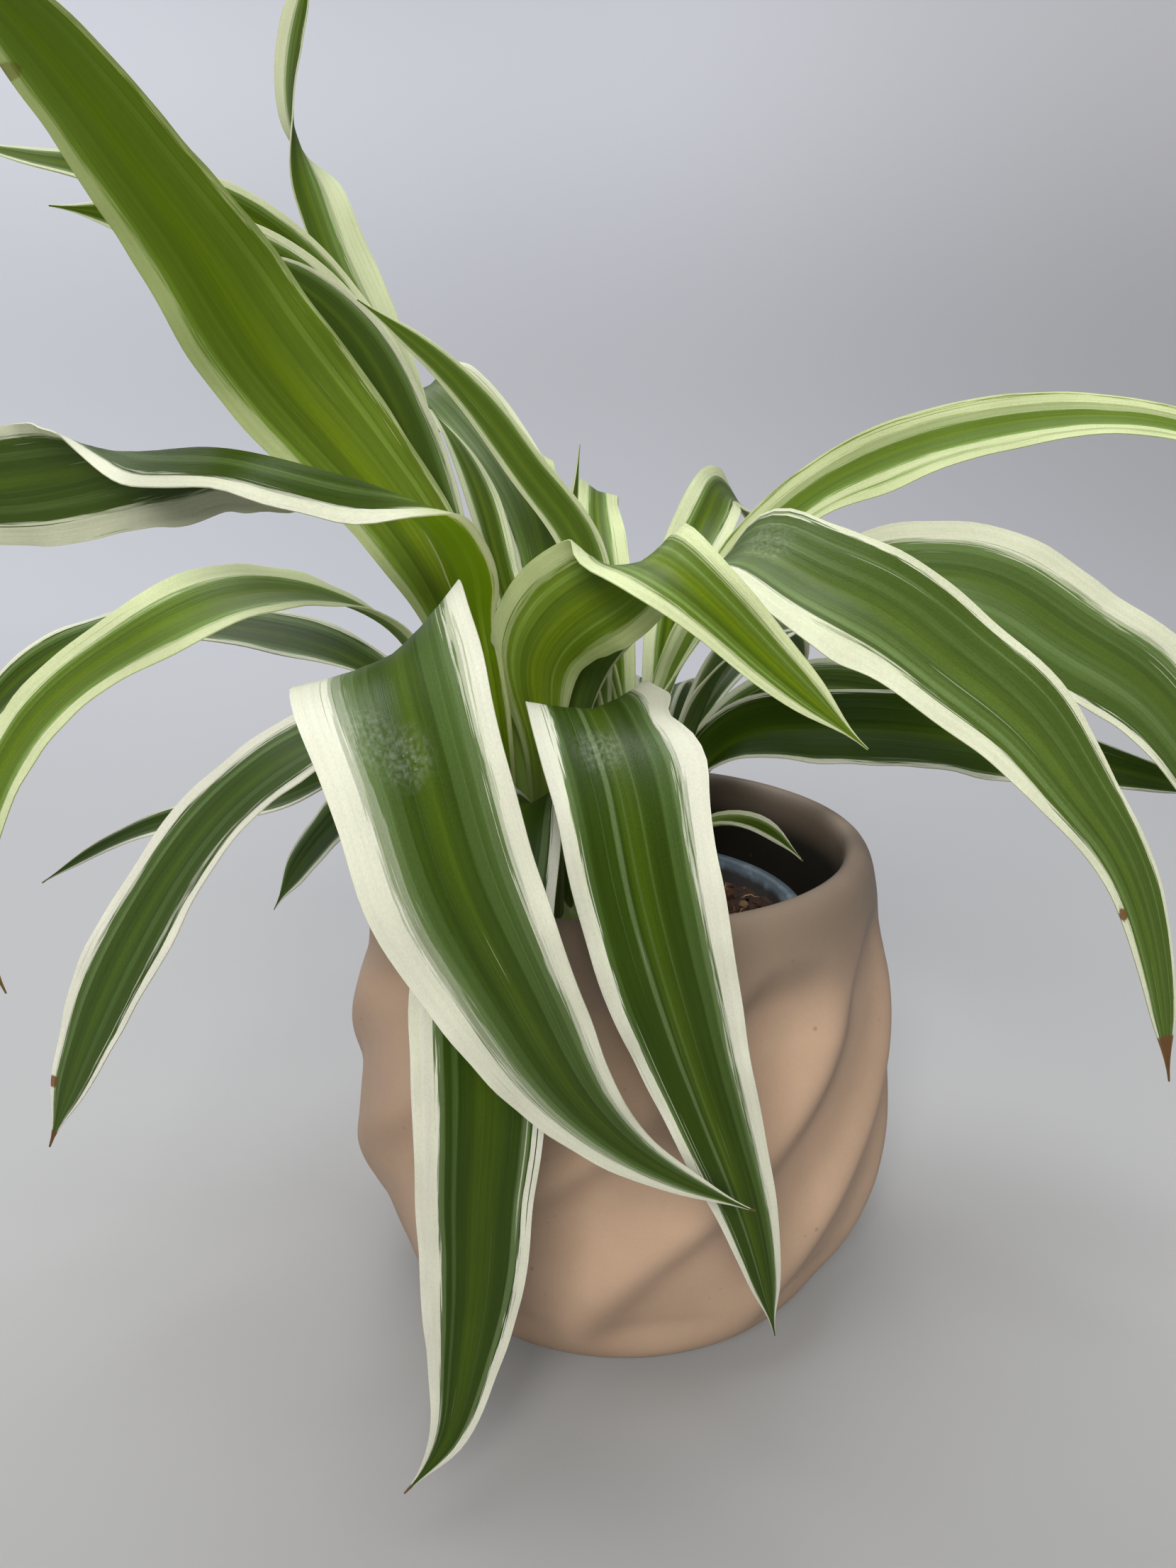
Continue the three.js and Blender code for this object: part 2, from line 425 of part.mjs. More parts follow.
// One stretch of a blade: a shallow channel with a waved margin. The triangles on both faces split alike.
function bladeSolid(line, from, to, places, phase, grow = 0) {
  const count = Math.max(2, Math.ceil((to - from) / blade.step));
  const points = [];
  for (let j = 0; j <= count; j += 1) {
    const s = mix(from, to, j / count);
    const reach = j === 0 ? -grow : j === count ? grow : 0;
    const { at, along, across, up } = line.frame(s);
    const young = 1 - smooth((s - line.knots[1]) / blade.foldLength);
    const fold = (mix(line.fold(s), blade.baseFold, young) * Math.PI) / 180;
    const half = line.width(s) / 2 + grow;
    const thick = mix(blade.thickness, blade.baseThickness, young) / 2 + grow;
    const wave = blade.wave * (1 - young) * Math.min(1, half / blade.fullWaveHalf);
    const turn = (2 * Math.PI * s) / blade.waveLength + phase;
    for (const face of [1, -1]) {
      for (const u of places) {
        const ripple = wave * u * u * Math.sin(turn + blade.sideShift * Math.sign(u));
        const out = Math.hypot(u, blade.keelRound);
        const rise = Math.sin(fold) * half * (out - blade.keelRound) + ripple;
        const slope = Math.sin(fold) * (u / out);
        const normal = up.clone().multiplyScalar(Math.cos(fold)).addScaledVector(across, -slope).normalize();
        points.push(at.clone()
          .addScaledVector(across, half * u * Math.cos(fold))
          .addScaledVector(up, rise)
          .addScaledVector(normal, face * thick)
          .addScaledVector(along, reach)
          .toArray());
      }
    }
  }
  const wide = places.length;
  const top = (j, i) => j * 2 * wide + i;
  const low = (j, i) => j * 2 * wide + wide + i;
  const faces = [];
  for (let j = 0; j < count; j += 1) {
    for (let i = 0; i < wide - 1; i += 1) {
      faces.push([top(j, i), top(j, i + 1), top(j + 1, i + 1)]);
      faces.push([top(j, i), top(j + 1, i + 1), top(j + 1, i)]);
      faces.push([low(j, i), low(j + 1, i + 1), low(j, i + 1)]);
      faces.push([low(j, i), low(j + 1, i), low(j + 1, i + 1)]);
    }
    const edge = wide - 1;
    faces.push([top(j, 0), top(j + 1, 0), low(j + 1, 0)]);
    faces.push([top(j, 0), low(j + 1, 0), low(j, 0)]);
    faces.push([top(j, edge), low(j, edge), low(j + 1, edge)]);
    faces.push([top(j, edge), low(j + 1, edge), top(j + 1, edge)]);
  }
  for (let i = 0; i < wide - 1; i += 1) {
    faces.push([top(0, i), low(0, i), low(0, i + 1)]);
    faces.push([top(0, i), low(0, i + 1), top(0, i + 1)]);
    faces.push([top(count, i), low(count, i + 1), low(count, i)]);
    faces.push([top(count, i), top(count, i + 1), low(count, i + 1)]);
  }
  return solidFrom(geometryFrom(points, faces));
}

const fivePlaces = [-1, -0.5, 0, 0.5, 1];
const threePlaces = [-1, 0, 1];

function leafPlan(route, index) {
  const line = leafLine(route);
  const widest = Math.max(...route.map((row) => row[3]));
  const places = widest >= blade.wideFrom ? fivePlaces : threePlaces;
  return { line, places, phase: blade.phaseStep * index };
}

// The plant. Leaves listed first keep their whole blade, and later ones are trimmed back clear of them.
const plans = new Map();
for (const crown of [frontCrown, backCrown]) {
  for (const [name, route] of Object.entries(crown.leaves)) plans.set(name, leafPlan(route, plans.size));
}

function crownSolid(crown, grow) {
  const bases = Object.keys(crown.leaves).map((name) => {
    const { line, phase } = plans.get(name);
    return bladeSolid(line, 0, line.knots[1] - crownGap, threePlaces, phase, grow);
  });
  return wasm.Manifold.union([stumpSolid(crown, grow), rootsSolid(crown, grow), ...bases]);
}

function plant() {
  const meshes = [];
  const frontSolid = largestBody(crownSolid(frontCrown, 0));
  const backSolid = largestBody(crownSolid(backCrown, 0).subtract(crownSolid(frontCrown, gap)));
  meshes.push([frontCrown.name, geometryOf(frontSolid), colours.crown, 0.6]);
  meshes.push([backCrown.name, geometryOf(backSolid), colours.crown, 0.6]);
  const kept = [crownSolid(frontCrown, gap), crownSolid(backCrown, gap)];
  for (const [name, { line, places, phase }] of plans) {
    const start = line.knots[1];
    const whole = bladeSolid(line, start, line.length, places, phase);
    const trimmed = largestBody(whole.subtract(wasm.Manifold.union(kept)));
    kept.push(bladeSolid(line, start, line.length, places, phase, gap));
    meshes.push([name, geometryOf(trimmed), colours.leaf, 0.5]);
  }
  return meshes;
}

const group = new THREE.Group();
const pieces = [
  ['ceramic_pot', cachepot(), colours.clay, 0.85],
  ['nursery_pot', nurseryPot(), colours.plastic, 0.45],
  ['soil', soilPlug(), colours.peat, 1],
  ...plant(),
];
for (const [name, geometry, color, roughness] of pieces) {
  const mesh = new THREE.Mesh(geometry, new THREE.MeshStandardMaterial({ color, roughness, metalness: 0 }));
  mesh.name = name;
  group.add(mesh);
}

export default group;
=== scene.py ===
# A potted spider plant: striped leaves, two crowns, soil, a thin plastic pot and a fluted clay pot around it
import math
import bpy
import numpy as np
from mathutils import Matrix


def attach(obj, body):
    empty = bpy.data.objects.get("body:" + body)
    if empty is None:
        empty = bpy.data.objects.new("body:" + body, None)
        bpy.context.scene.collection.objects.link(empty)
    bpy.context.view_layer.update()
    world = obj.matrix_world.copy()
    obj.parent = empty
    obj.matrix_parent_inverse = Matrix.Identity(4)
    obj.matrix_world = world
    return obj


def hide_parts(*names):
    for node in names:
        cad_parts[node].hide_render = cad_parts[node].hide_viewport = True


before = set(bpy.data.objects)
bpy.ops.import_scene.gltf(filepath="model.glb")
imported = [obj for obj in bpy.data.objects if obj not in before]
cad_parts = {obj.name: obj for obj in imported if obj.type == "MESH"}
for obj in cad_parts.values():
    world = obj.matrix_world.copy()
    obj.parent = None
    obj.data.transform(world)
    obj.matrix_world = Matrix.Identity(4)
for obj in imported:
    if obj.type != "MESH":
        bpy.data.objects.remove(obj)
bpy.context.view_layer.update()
mm = 0.001  # the shapes below are in millimetres, and a mesh is in metres
scene = bpy.context.scene
print("frame loaded:", len(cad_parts), "nodes")

photoCamera = {
    "place": (-0.0073, -0.2376, 0.182),  # metres
    "downTilt": 17.0,  # degrees below level
    "lens": 27.03,  # mm
    "film": 36.0,  # mm along the picture's longer side
}


def addCamera(look):
    data = bpy.data.cameras.new("photo camera")
    data.lens = look["lens"]
    data.sensor_width = look["film"]
    data.sensor_fit = "AUTO"
    data.clip_start = 0.01
    camera = bpy.data.objects.new("photo camera", data)
    camera.location = look["place"]
    camera.rotation_euler = (math.radians(90.0 - look["downTilt"]), 0.0, 0.0)
    scene.collection.objects.link(camera)
    scene.camera = camera


addCamera(photoCamera)
scene.view_settings.view_transform = "Standard"


# numbers and curves
def smooth(x):
    # an ease from 0 to 1: 3t² - 2t³ of x held between 0 and 1
    t = np.clip(x, 0.0, 1.0)
    return t * t * (3.0 - 2.0 * t)


def between(a, b, t):
    return a + (b - a) * t


def unit(rows):
    return rows / np.linalg.norm(rows, axis=-1, keepdims=True)


def bell(x, width):
    # a bump of height 1 at x = 0: e to the power -(x / width)²
    return np.exp(-(x / width) ** 2)


def runningLength(points):
    steps = np.linalg.norm(np.diff(points, axis=0), axis=1)
    return np.concatenate([[0.0], np.cumsum(steps)])


def naturalSpline(knots, values):
    # cubic pieces through the values, of equal slope and bend where they meet, and straight at both ends
    last = len(knots) - 1
    span = np.diff(knots)
    system = np.eye(last + 1)
    inner = np.arange(1, last)
    system[inner, inner - 1] = span[:-1]
    system[inner, inner] = 2.0 * (span[:-1] + span[1:])
    system[inner, inner + 1] = span[1:]
    slope = np.diff(values, axis=0) / span[:, None]
    wanted = np.zeros_like(values)
    wanted[1:-1] = 6.0 * np.diff(slope, axis=0)
    bend = np.linalg.solve(system, wanted)

    def curve(x):
        i = np.clip(np.searchsorted(knots, x) - 1, 0, last - 1)
        width = span[i][:, None]
        right = (x - knots[i])[:, None] / width
        left = 1.0 - right
        bow = ((left ** 3 - left) * bend[i] + (right ** 3 - right) * bend[i + 1]) * width ** 2 / 6.0
        return left * values[i] + right * values[i + 1] + bow

    return curve


def roundedProfile(points, count):
    # a curve through the points that never swings past them: at each point its slope over the running
    # length is the harmonic mean of the slopes on both sides, or none where they disagree
    rows = np.array(points, float)
    knots = runningLength(rows)
    span = np.diff(knots)[:, None]
    slope = np.diff(rows, axis=0) / span
    same = slope[:-1] * slope[1:] > 0.0
    mean = 2.0 * slope[:-1] * slope[1:] / np.where(same, slope[:-1] + slope[1:], 1.0)
    tangent = np.concatenate([slope[:1], np.where(same, mean, 0.0), slope[-1:]])
    x = np.linspace(0.0, knots[-1], count)
    i = np.clip(np.searchsorted(knots, x) - 1, 0, len(knots) - 2)
    t = ((x - knots[i]) / span[i, 0])[:, None]
    rise = t * t * (3.0 - 2.0 * t)
    start = t * (1.0 - t) ** 2 * tangent[i] * span[i]
    stop = t * t * (1.0 - t) * tangent[i + 1] * span[i]
    return rows[i] * (1.0 - rise) + rows[i + 1] * rise + start - stop


def waves(points, lengths, seed, count=7):
    # a soft unevenness of about -1 to 1: plane waves in drawn directions, of the given range of lengths
    draw = np.random.default_rng(seed)
    ways = unit(draw.normal(size=(count, points.shape[-1])))
    pace = 2.0 * math.pi / draw.uniform(lengths[0], lengths[1], count)
    starts = draw.uniform(0.0, 2.0 * math.pi, count)
    return np.sin(points @ (ways * pace[:, None]).T + starts).sum(axis=-1) / math.sqrt(count)


# meshes
def ringQuads(stations, around, first=0):
    # the quads between each closed ring of points and the next
    j, i = np.meshgrid(np.arange(stations - 1), np.arange(around), indexing="ij")
    nextI = (i + 1) % around
    quads = np.stack([j * around + i, j * around + nextI, (j + 1) * around + nextI, (j + 1) * around + i], -1)
    return quads.reshape(-1, 4) + first


def poleTriangles(ring, pole, ahead):
    # a fan from a ring of points to one pole; ahead says that the pole lies past the last ring
    after = np.roll(ring, -1)
    tip = np.full_like(ring, pole)
    return np.stack([ring, after, tip] if ahead else [after, ring, tip], -1)


def meshOf(name, points, quads, triangles=None):
    triangles = np.zeros((0, 3), int) if triangles is None else triangles
    mesh = bpy.data.meshes.new(name)
    corners = np.concatenate([quads.ravel(), triangles.ravel()]).astype(np.int32)
    starts = np.concatenate([np.arange(len(quads)) * 4, len(quads) * 4 + np.arange(len(triangles)) * 3])
    mesh.vertices.add(len(points))
    mesh.vertices.foreach_set("co", (points * mm).astype(np.float32).ravel())
    mesh.loops.add(len(corners))
    mesh.loops.foreach_set("vertex_index", corners)
    mesh.polygons.add(len(starts))
    mesh.polygons.foreach_set("loop_start", starts.astype(np.int32))
    mesh.update(calc_edges=True)
    mesh.validate()
    return mesh


def store(mesh, name, values):
    # three numbers for each point, under a name that a finish can read
    layer = mesh.attributes.new(name, "FLOAT_VECTOR", "POINT")
    layer.data.foreach_set("vector", np.ascontiguousarray(values, np.float32).ravel())


def addPiece(name, mesh, finishes, sharpFrom=45.0):
    # a finished piece of the plant, smooth but for edges sharper than sharpFrom degrees
    mesh.shade_smooth()
    mesh.set_sharp_from_angle(angle=math.radians(sharpFrom))
    for finish in finishes:
        mesh.materials.append(finish)
    piece = bpy.data.objects.new(name, mesh)
    scene.collection.objects.link(piece)
    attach(piece, "root")
    return piece


class Wire:
    # one output socket; sums and products of wires add Math nodes
    def __init__(self, finish, socket):
        self.finish = finish
        self.socket = socket

    def combined(self, operation, a, b):
        return self.finish.node("ShaderNodeMath", {"operation": operation}, {0: a, 1: b})

    def __add__(self, other):
        return self.combined("ADD", self, other)

    def __radd__(self, other):
        return self.combined("ADD", other, self)

    def __sub__(self, other):
        return self.combined("SUBTRACT", self, other)

    def __rsub__(self, other):
        return self.combined("SUBTRACT", other, self)

    def __mul__(self, other):
        return self.combined("MULTIPLY", self, other)

    def __rmul__(self, other):
        return self.combined("MULTIPLY", other, self)


class Finish:
    # a material in the making
    def __init__(self, name):
        self.material = bpy.data.materials.new(name)
        self.material.use_nodes = True
        self.tree = self.material.node_tree
        self.tree.nodes.clear()

    def node(self, kind, settings, sockets, out=0):
        # any node: its settings first, then its sockets by name or number, each a value or a wire
        made = self.tree.nodes.new(kind)
        for key, value in settings.items():
            if key == "stops":
                self.setStops(made.color_ramp, value)
            else:
                setattr(made, key, value)
        for key, value in sockets.items():
            socket = made.inputs[key]
            if isinstance(value, Wire):
                self.tree.links.new(value.socket, socket)
            elif isinstance(value, tuple) and socket.type == "RGBA":
                socket.default_value = value + (1.0,)
            else:
                socket.default_value = value
        return Wire(self, made.outputs[out]) if len(made.outputs) else made

    def setStops(self, ramp, stops):
        while len(ramp.elements) < len(stops):
            ramp.elements.new(0.5)
        for element, (place, colour) in zip(ramp.elements, stops):
            element.position = place
            element.color = colour + (1.0,) if isinstance(colour, tuple) else (colour, colour, colour, 1.0)

    def attribute(self, name):
        return self.node("ShaderNodeAttribute", {"attribute_name": name}, {}, "Vector")

    def parts(self, vector):
        split = self.node("ShaderNodeSeparateXYZ", {}, {0: vector})
        outputs = split.socket.node.outputs
        return tuple(Wire(self, output) for output in outputs)

    def place(self):
        return self.node("ShaderNodeTexCoord", {}, {}, "Object")

    def joined(self, x, y, z):
        return self.node("ShaderNodeCombineXYZ", {}, {0: x, 1: y, 2: z})

    def noise(self, vector, scale=1.0, detail=2.0, rough=0.5):
        sockets = {"Vector": vector, "Scale": scale, "Detail": detail, "Roughness": rough}
        return self.node("ShaderNodeTexNoise", {}, sockets, 0)

    def cells(self, vector, scale):
        # the distance to the nearest of many scattered points
        return self.node("ShaderNodeTexVoronoi", {}, {"Vector": vector, "Scale": scale}, "Distance")

    def rise(self, wire, low, high):
        # 0 below low and 1 above high, with an ease between
        sockets = {"Value": wire, "From Min": low, "From Max": high}
        return self.node("ShaderNodeMapRange", {"interpolation_type": "SMOOTHSTEP"}, sockets)

    def ramp(self, wire, stops):
        return self.node("ShaderNodeValToRGB", {"stops": stops}, {0: wire})

    def mixed(self, share, a, b):
        # colours a and b, by a share from 0 to 1
        return self.node("ShaderNodeMix", {"data_type": "RGBA"}, {0: share, 6: a, 7: b}, 2)

    def scaled(self, colour, factor):
        return self.node("ShaderNodeVectorMath", {"operation": "SCALE"}, {0: colour, 3: factor})

    def tinted(self, colour, tint):
        return self.node("ShaderNodeVectorMath", {"operation": "MULTIPLY"}, {0: colour, 1: tint})

    def bumped(self, height, strength):
        # the height is in millimetres
        return self.node("ShaderNodeBump", {}, {"Height": height, "Strength": strength, "Distance": mm})

    def skin(self, **sockets):
        named = {key.replace("_", " "): value for key, value in sockets.items()}
        return self.node("ShaderNodeBsdfPrincipled", {}, named)

    def veil(self, colour):
        return self.node("ShaderNodeBsdfTranslucent", {}, {"Color": colour})

    def blend(self, share, a, b):
        return self.node("ShaderNodeMixShader", {}, {0: share, 1: a, 2: b})

    def done(self, shader):
        self.node("ShaderNodeOutputMaterial", {}, {"Surface": shader})
        return self.material


# leaves: tones, stripes and finish
tones = {  # each is the mature colour, then the young one
    "cream": ((0.65, 0.655, 0.58), (0.56, 0.63, 0.32)),
    "sage": ((0.100, 0.150, 0.055), (0.17, 0.27, 0.055)),
    "middle": ((0.052, 0.092, 0.020), (0.115, 0.175, 0.018)),
    "dark": ((0.027, 0.053, 0.004), (0.072, 0.118, 0.006)),
    "bright": ((0.045, 0.081, 0.004), (0.135, 0.200, 0.005)),
}

leafSkin = {
    "edge": 0.004,  # half the width that a pale stripe's edge takes, of the leaf's width
    "greenEdge": 0.006,  # the same between two greens
    "softEdge": 0.070,  # the same beside the bright centre
    "creams": {"cream": 1.0, "pale": 0.55, "faint": 0.25},  # how much cream such a stripe has over its green
    "streak": 0.110,  # how far a single line of cells may cross the cream's edge
    "ray": 0.090,  # how far a bundle of them may
    "wander": 0.030,  # how far a stripe's edge drifts along the leaf
    "border": 0.10,  # how far from the cream's edge the thin dashes lie
    "dashes": 0.13,  # how much likelier a dash is right at the edge
    "dashEdge": (0.265, 0.285),  # where in its noise a dash begins and is full
    "hair": 0.35,  # how strongly the long thin lines in the green show
    "hairEdge": (0.65, 0.68),  # where in its noise such a line begins and is full
    "highlightSpeckEdge": (0.68, 0.76),  # the same for a painted highlight speck
    "highlightSheenEdge": (0.3, 0.75),  # and for the painted soft sheen around it
    "glow": 0.40,  # the share of light that passes through
    "paintedBacklightTint": (3.6, 3.1, 0.9),  # how much brighter the greens are painted where strong light stands behind them
    "glowGreen": ((0.135, 0.215, 0.004), (0.38, 0.50, 0.012)),
    "glowCream": ((0.76, 0.75, 0.60), (0.64, 0.73, 0.34)),
    "litGlow": 0.22,  # how much more of it passes there
    "bundle": 0.35,  # how strongly the bundles of lines in the cream show
    "bundleEdge": (0.48, 0.70),  # where in their noise they begin and are full
    "veins": 13.0,  # across the whole width
    "under": 0.22,  # how much of the lower face is sage
    "sheathed": 0.75,  # how strongly the pale colour of the sheath shows near the foot
    "rotEdge": (0.42, 0.58),  # where brown begins and is full
    "highlightSpecks": 0.16,  # how strongly the painted highlight specks show, and then the painted soft sheen
    "highlightSheen": 0.12,
    "relief": (0.018, 0.08, 0.06, 0.10),  # the height in mm of veins, fibres, grain and mottle
    "gloss": 0.33,
    "creamLine": (0.50, 0.55, 0.36),
    "brown": (0.14, 0.065, 0.028),
    # the colour of the painted highlights
    "highlightSpeck": (0.80, 0.84, 0.78),
    "sheath": (0.25, 0.34, 0.09),
}


def readStripes(text):
    # tones with the share of the width at which each follows the last, as pairs of a beginning and a tone
    words = text.split()
    return list(zip([0.0] + [float(word) for word in words[1::2]], words[::2]))


# stripes seen in the photograph, from the low side to the high side, and where each gives way to the next
knownStripes = {
    "leaf_front_great":
        "cream 0.1 pale 0.14 sage 0.2 middle 0.32 dark 0.4 bright 0.5 dark 0.615 middle 0.69 sage 0.745"
        " faint 0.79 pale 0.825 cream",
    "leaf_front_right":
        "cream 0.15 pale 0.18 sage 0.22 middle 0.3 dark 0.44 bright 0.58 dark 0.61 sage 0.645 dark 0.82"
        " middle 0.855 sage 0.87 cream",
    "leaf_front_hang":
        "cream 0.09 dark 0.11 sage 0.17 dark 0.34 bright 0.56 dark 0.66 middle 0.7 dark 0.76 sage 0.81 "
        "cream",
    "leaf_right_great":
        "cream 0.06 dark 0.16 sage 0.18 dark 0.3 middle 0.36 dark 0.44 bright 0.56 dark 0.64 middle 0.7"
        " sage 0.76 dark 0.8 pale 0.82 cream",
    "leaf_right_wide":
        "cream 0.15 pale 0.19 sage 0.26 middle 0.36 dark 0.44 bright 0.56 middle 0.66 sage 0.72 middle "
        "0.8 dark 0.94 cream",
    "leaf_right_high":
        "cream 0.04 middle 0.06 cream 0.2 pale 0.35 middle 0.43 bright 0.52 dark 0.6 middle 0.68 sage "
        "0.74 cream 0.85 pale 0.9 cream",
    "leaf_twist_left":
        "cream 0.14 pale 0.16 dark 0.28 middle 0.34 dark 0.46 bright 0.56 dark 0.7 middle 0.76 dark "
        "0.83 pale 0.85 cream",
    "leaf_reach":
        "pale 0.025 cream 0.045 middle 0.16 sage 0.2 middle 0.4 bright 0.56 dark 0.66 middle 0.8 sage "
        "0.86 pale 0.875 cream",
    "leaf_top_twist":
        "cream 0.36 pale 0.44 sage 0.56 middle 0.66 bright 0.76 dark 0.965 cream",
    "leaf_arch_left":
        "cream 0.15 pale 0.18 sage 0.26 middle 0.44 bright 0.56 dark 0.66 middle 0.74 sage 0.78 pale "
        "0.8 cream",
    "leaf_drop_left":
        "cream 0.09 dark 0.13 pale 0.15 dark 0.3 middle 0.38 dark 0.46 bright 0.56 dark 0.74 sage 0.79 "
        "middle 0.86 pale 0.88 cream",
    "leaf_right_low":
        "cream 0.04 dark 0.42 bright 0.56 dark 0.9 middle 0.95 cream",
    "leaf_centre_fold":
        "cream 0.15 pale 0.19 middle 0.3 sage 0.33 middle 0.42 bright 0.56 dark 0.66 middle 0.72 sage "
        "0.76 middle 0.82 pale 0.85 cream",
}


def grownStripes(low, high, seed):
    # cream of the given shares at both margins, then sage, middle and dark green in drawn widths on each
    # side of a bright centre
    draw = np.random.default_rng(seed)

    def side(margin):
        edges = margin + np.cumsum(draw.uniform([0.012, 0.025, 0.03], [0.03, 0.08, 0.10]))
        order = ["pale" if draw.random() < 0.5 else "dark", "sage", "middle"]
        return edges, order

    lowEdges, lowOrder = side(low)
    highEdges, highOrder = side(high)
    centre = draw.uniform(0.47, 0.53)
    wide = draw.uniform(0.04, 0.08)
    stripes = [(0.0, "cream"), (low, lowOrder[0]), (lowEdges[0], "sage"), (lowEdges[1], "middle"),
               (lowEdges[2], "dark"), (centre - wide, "bright"), (centre + wide, "dark"),
               (1.0 - highEdges[2], "middle"), (1.0 - highEdges[1], "sage"),
               (1.0 - highEdges[0], highOrder[0]), (1.0 - high, "cream")]
    places = np.maximum.accumulate(np.array([place for place, tone in stripes]) + np.arange(11) * 1e-4)
    return [(float(place), tone) for place, (old, tone) in zip(places, stripes)]


def stripeStops(stripes, values, edges):
    # two stops at each edge between stripes, closer together than the stripes on both sides are wide.
    # edges(tone, tone) gives half the width of the edge
    places = [place for place, tone in stripes] + [1.0]
    stops = []
    for i in range(1, len(stripes)):
        old, new = stripes[i - 1][1], stripes[i][1]
        room = 0.45 * min(places[i] - places[i - 1], places[i + 1] - places[i])
        soft = min(edges(old, new), room)
        stops += [(places[i] - soft, values[old]), (places[i] + soft, values[new])]
    return stops


def greenEdge(old, new):
    # the bright centre fades into the greens beside it
    return leafSkin["softEdge"] if "bright" in (old, new) else leafSkin["greenEdge"]


def greensUnder(stripes):
    # the same stripes, with the green beside each cream or pale one running on under it
    greens = [tone for place, tone in stripes if tone not in leafSkin["creams"]]
    under = []
    last = greens[0]
    for place, tone in stripes:
        last = last if tone in leafSkin["creams"] else tone
        if not under or under[-1][1] != last:
            under.append((place, last))
    return under


def tonesOf(young, sheenPaling):
    # the tones at the leaf's age, with the greens drawn towards sage by the given share, a painted sheen
    colour = {tone: between(np.array(old), np.array(new), young) for tone, (old, new) in tones.items()}
    for tone in ("middle", "dark", "bright"):
        colour[tone] = between(colour[tone], colour["sage"], sheenPaling)
    return {tone: tuple(value) for tone, value in colour.items()}


# fine unevenness of a leaf: how often it changes across and along, its detail, its roughness and a shift that
# keeps the patterns apart. The last four count across in millimetres, the rest in shares of half the width
leafGrains = {
    "cell": (42.0, 0.10, 2.0, 0.6, 0.0), "ray": (15.0, 0.045, 1.0, 0.5, 6.1),
    "wander": (2.5, 0.02, 1.0, 0.5, 3.7), "dash": (32.0, 0.022, 1.0, 0.5, 1.9),
    "hair": (24.0, 0.008, 1.0, 0.5, 4.4), "bundle": (19.0, 0.012, 2.0, 0.5, 2.6),
    "fibre": (60.0, 0.05, 3.0, 0.65, 9.1), "mottle": (0.22, 0.09, 3.0, 0.5, 5.3),
    "grain": (3.4, 2.3, 2.0, 0.7, 0.0), "highlightSpeck": (3.1, 3.1, 1.0, 0.5, 7.7),
    "highlightSheen": (1.7, 1.3, 4.0, 0.5, 8.3),
}


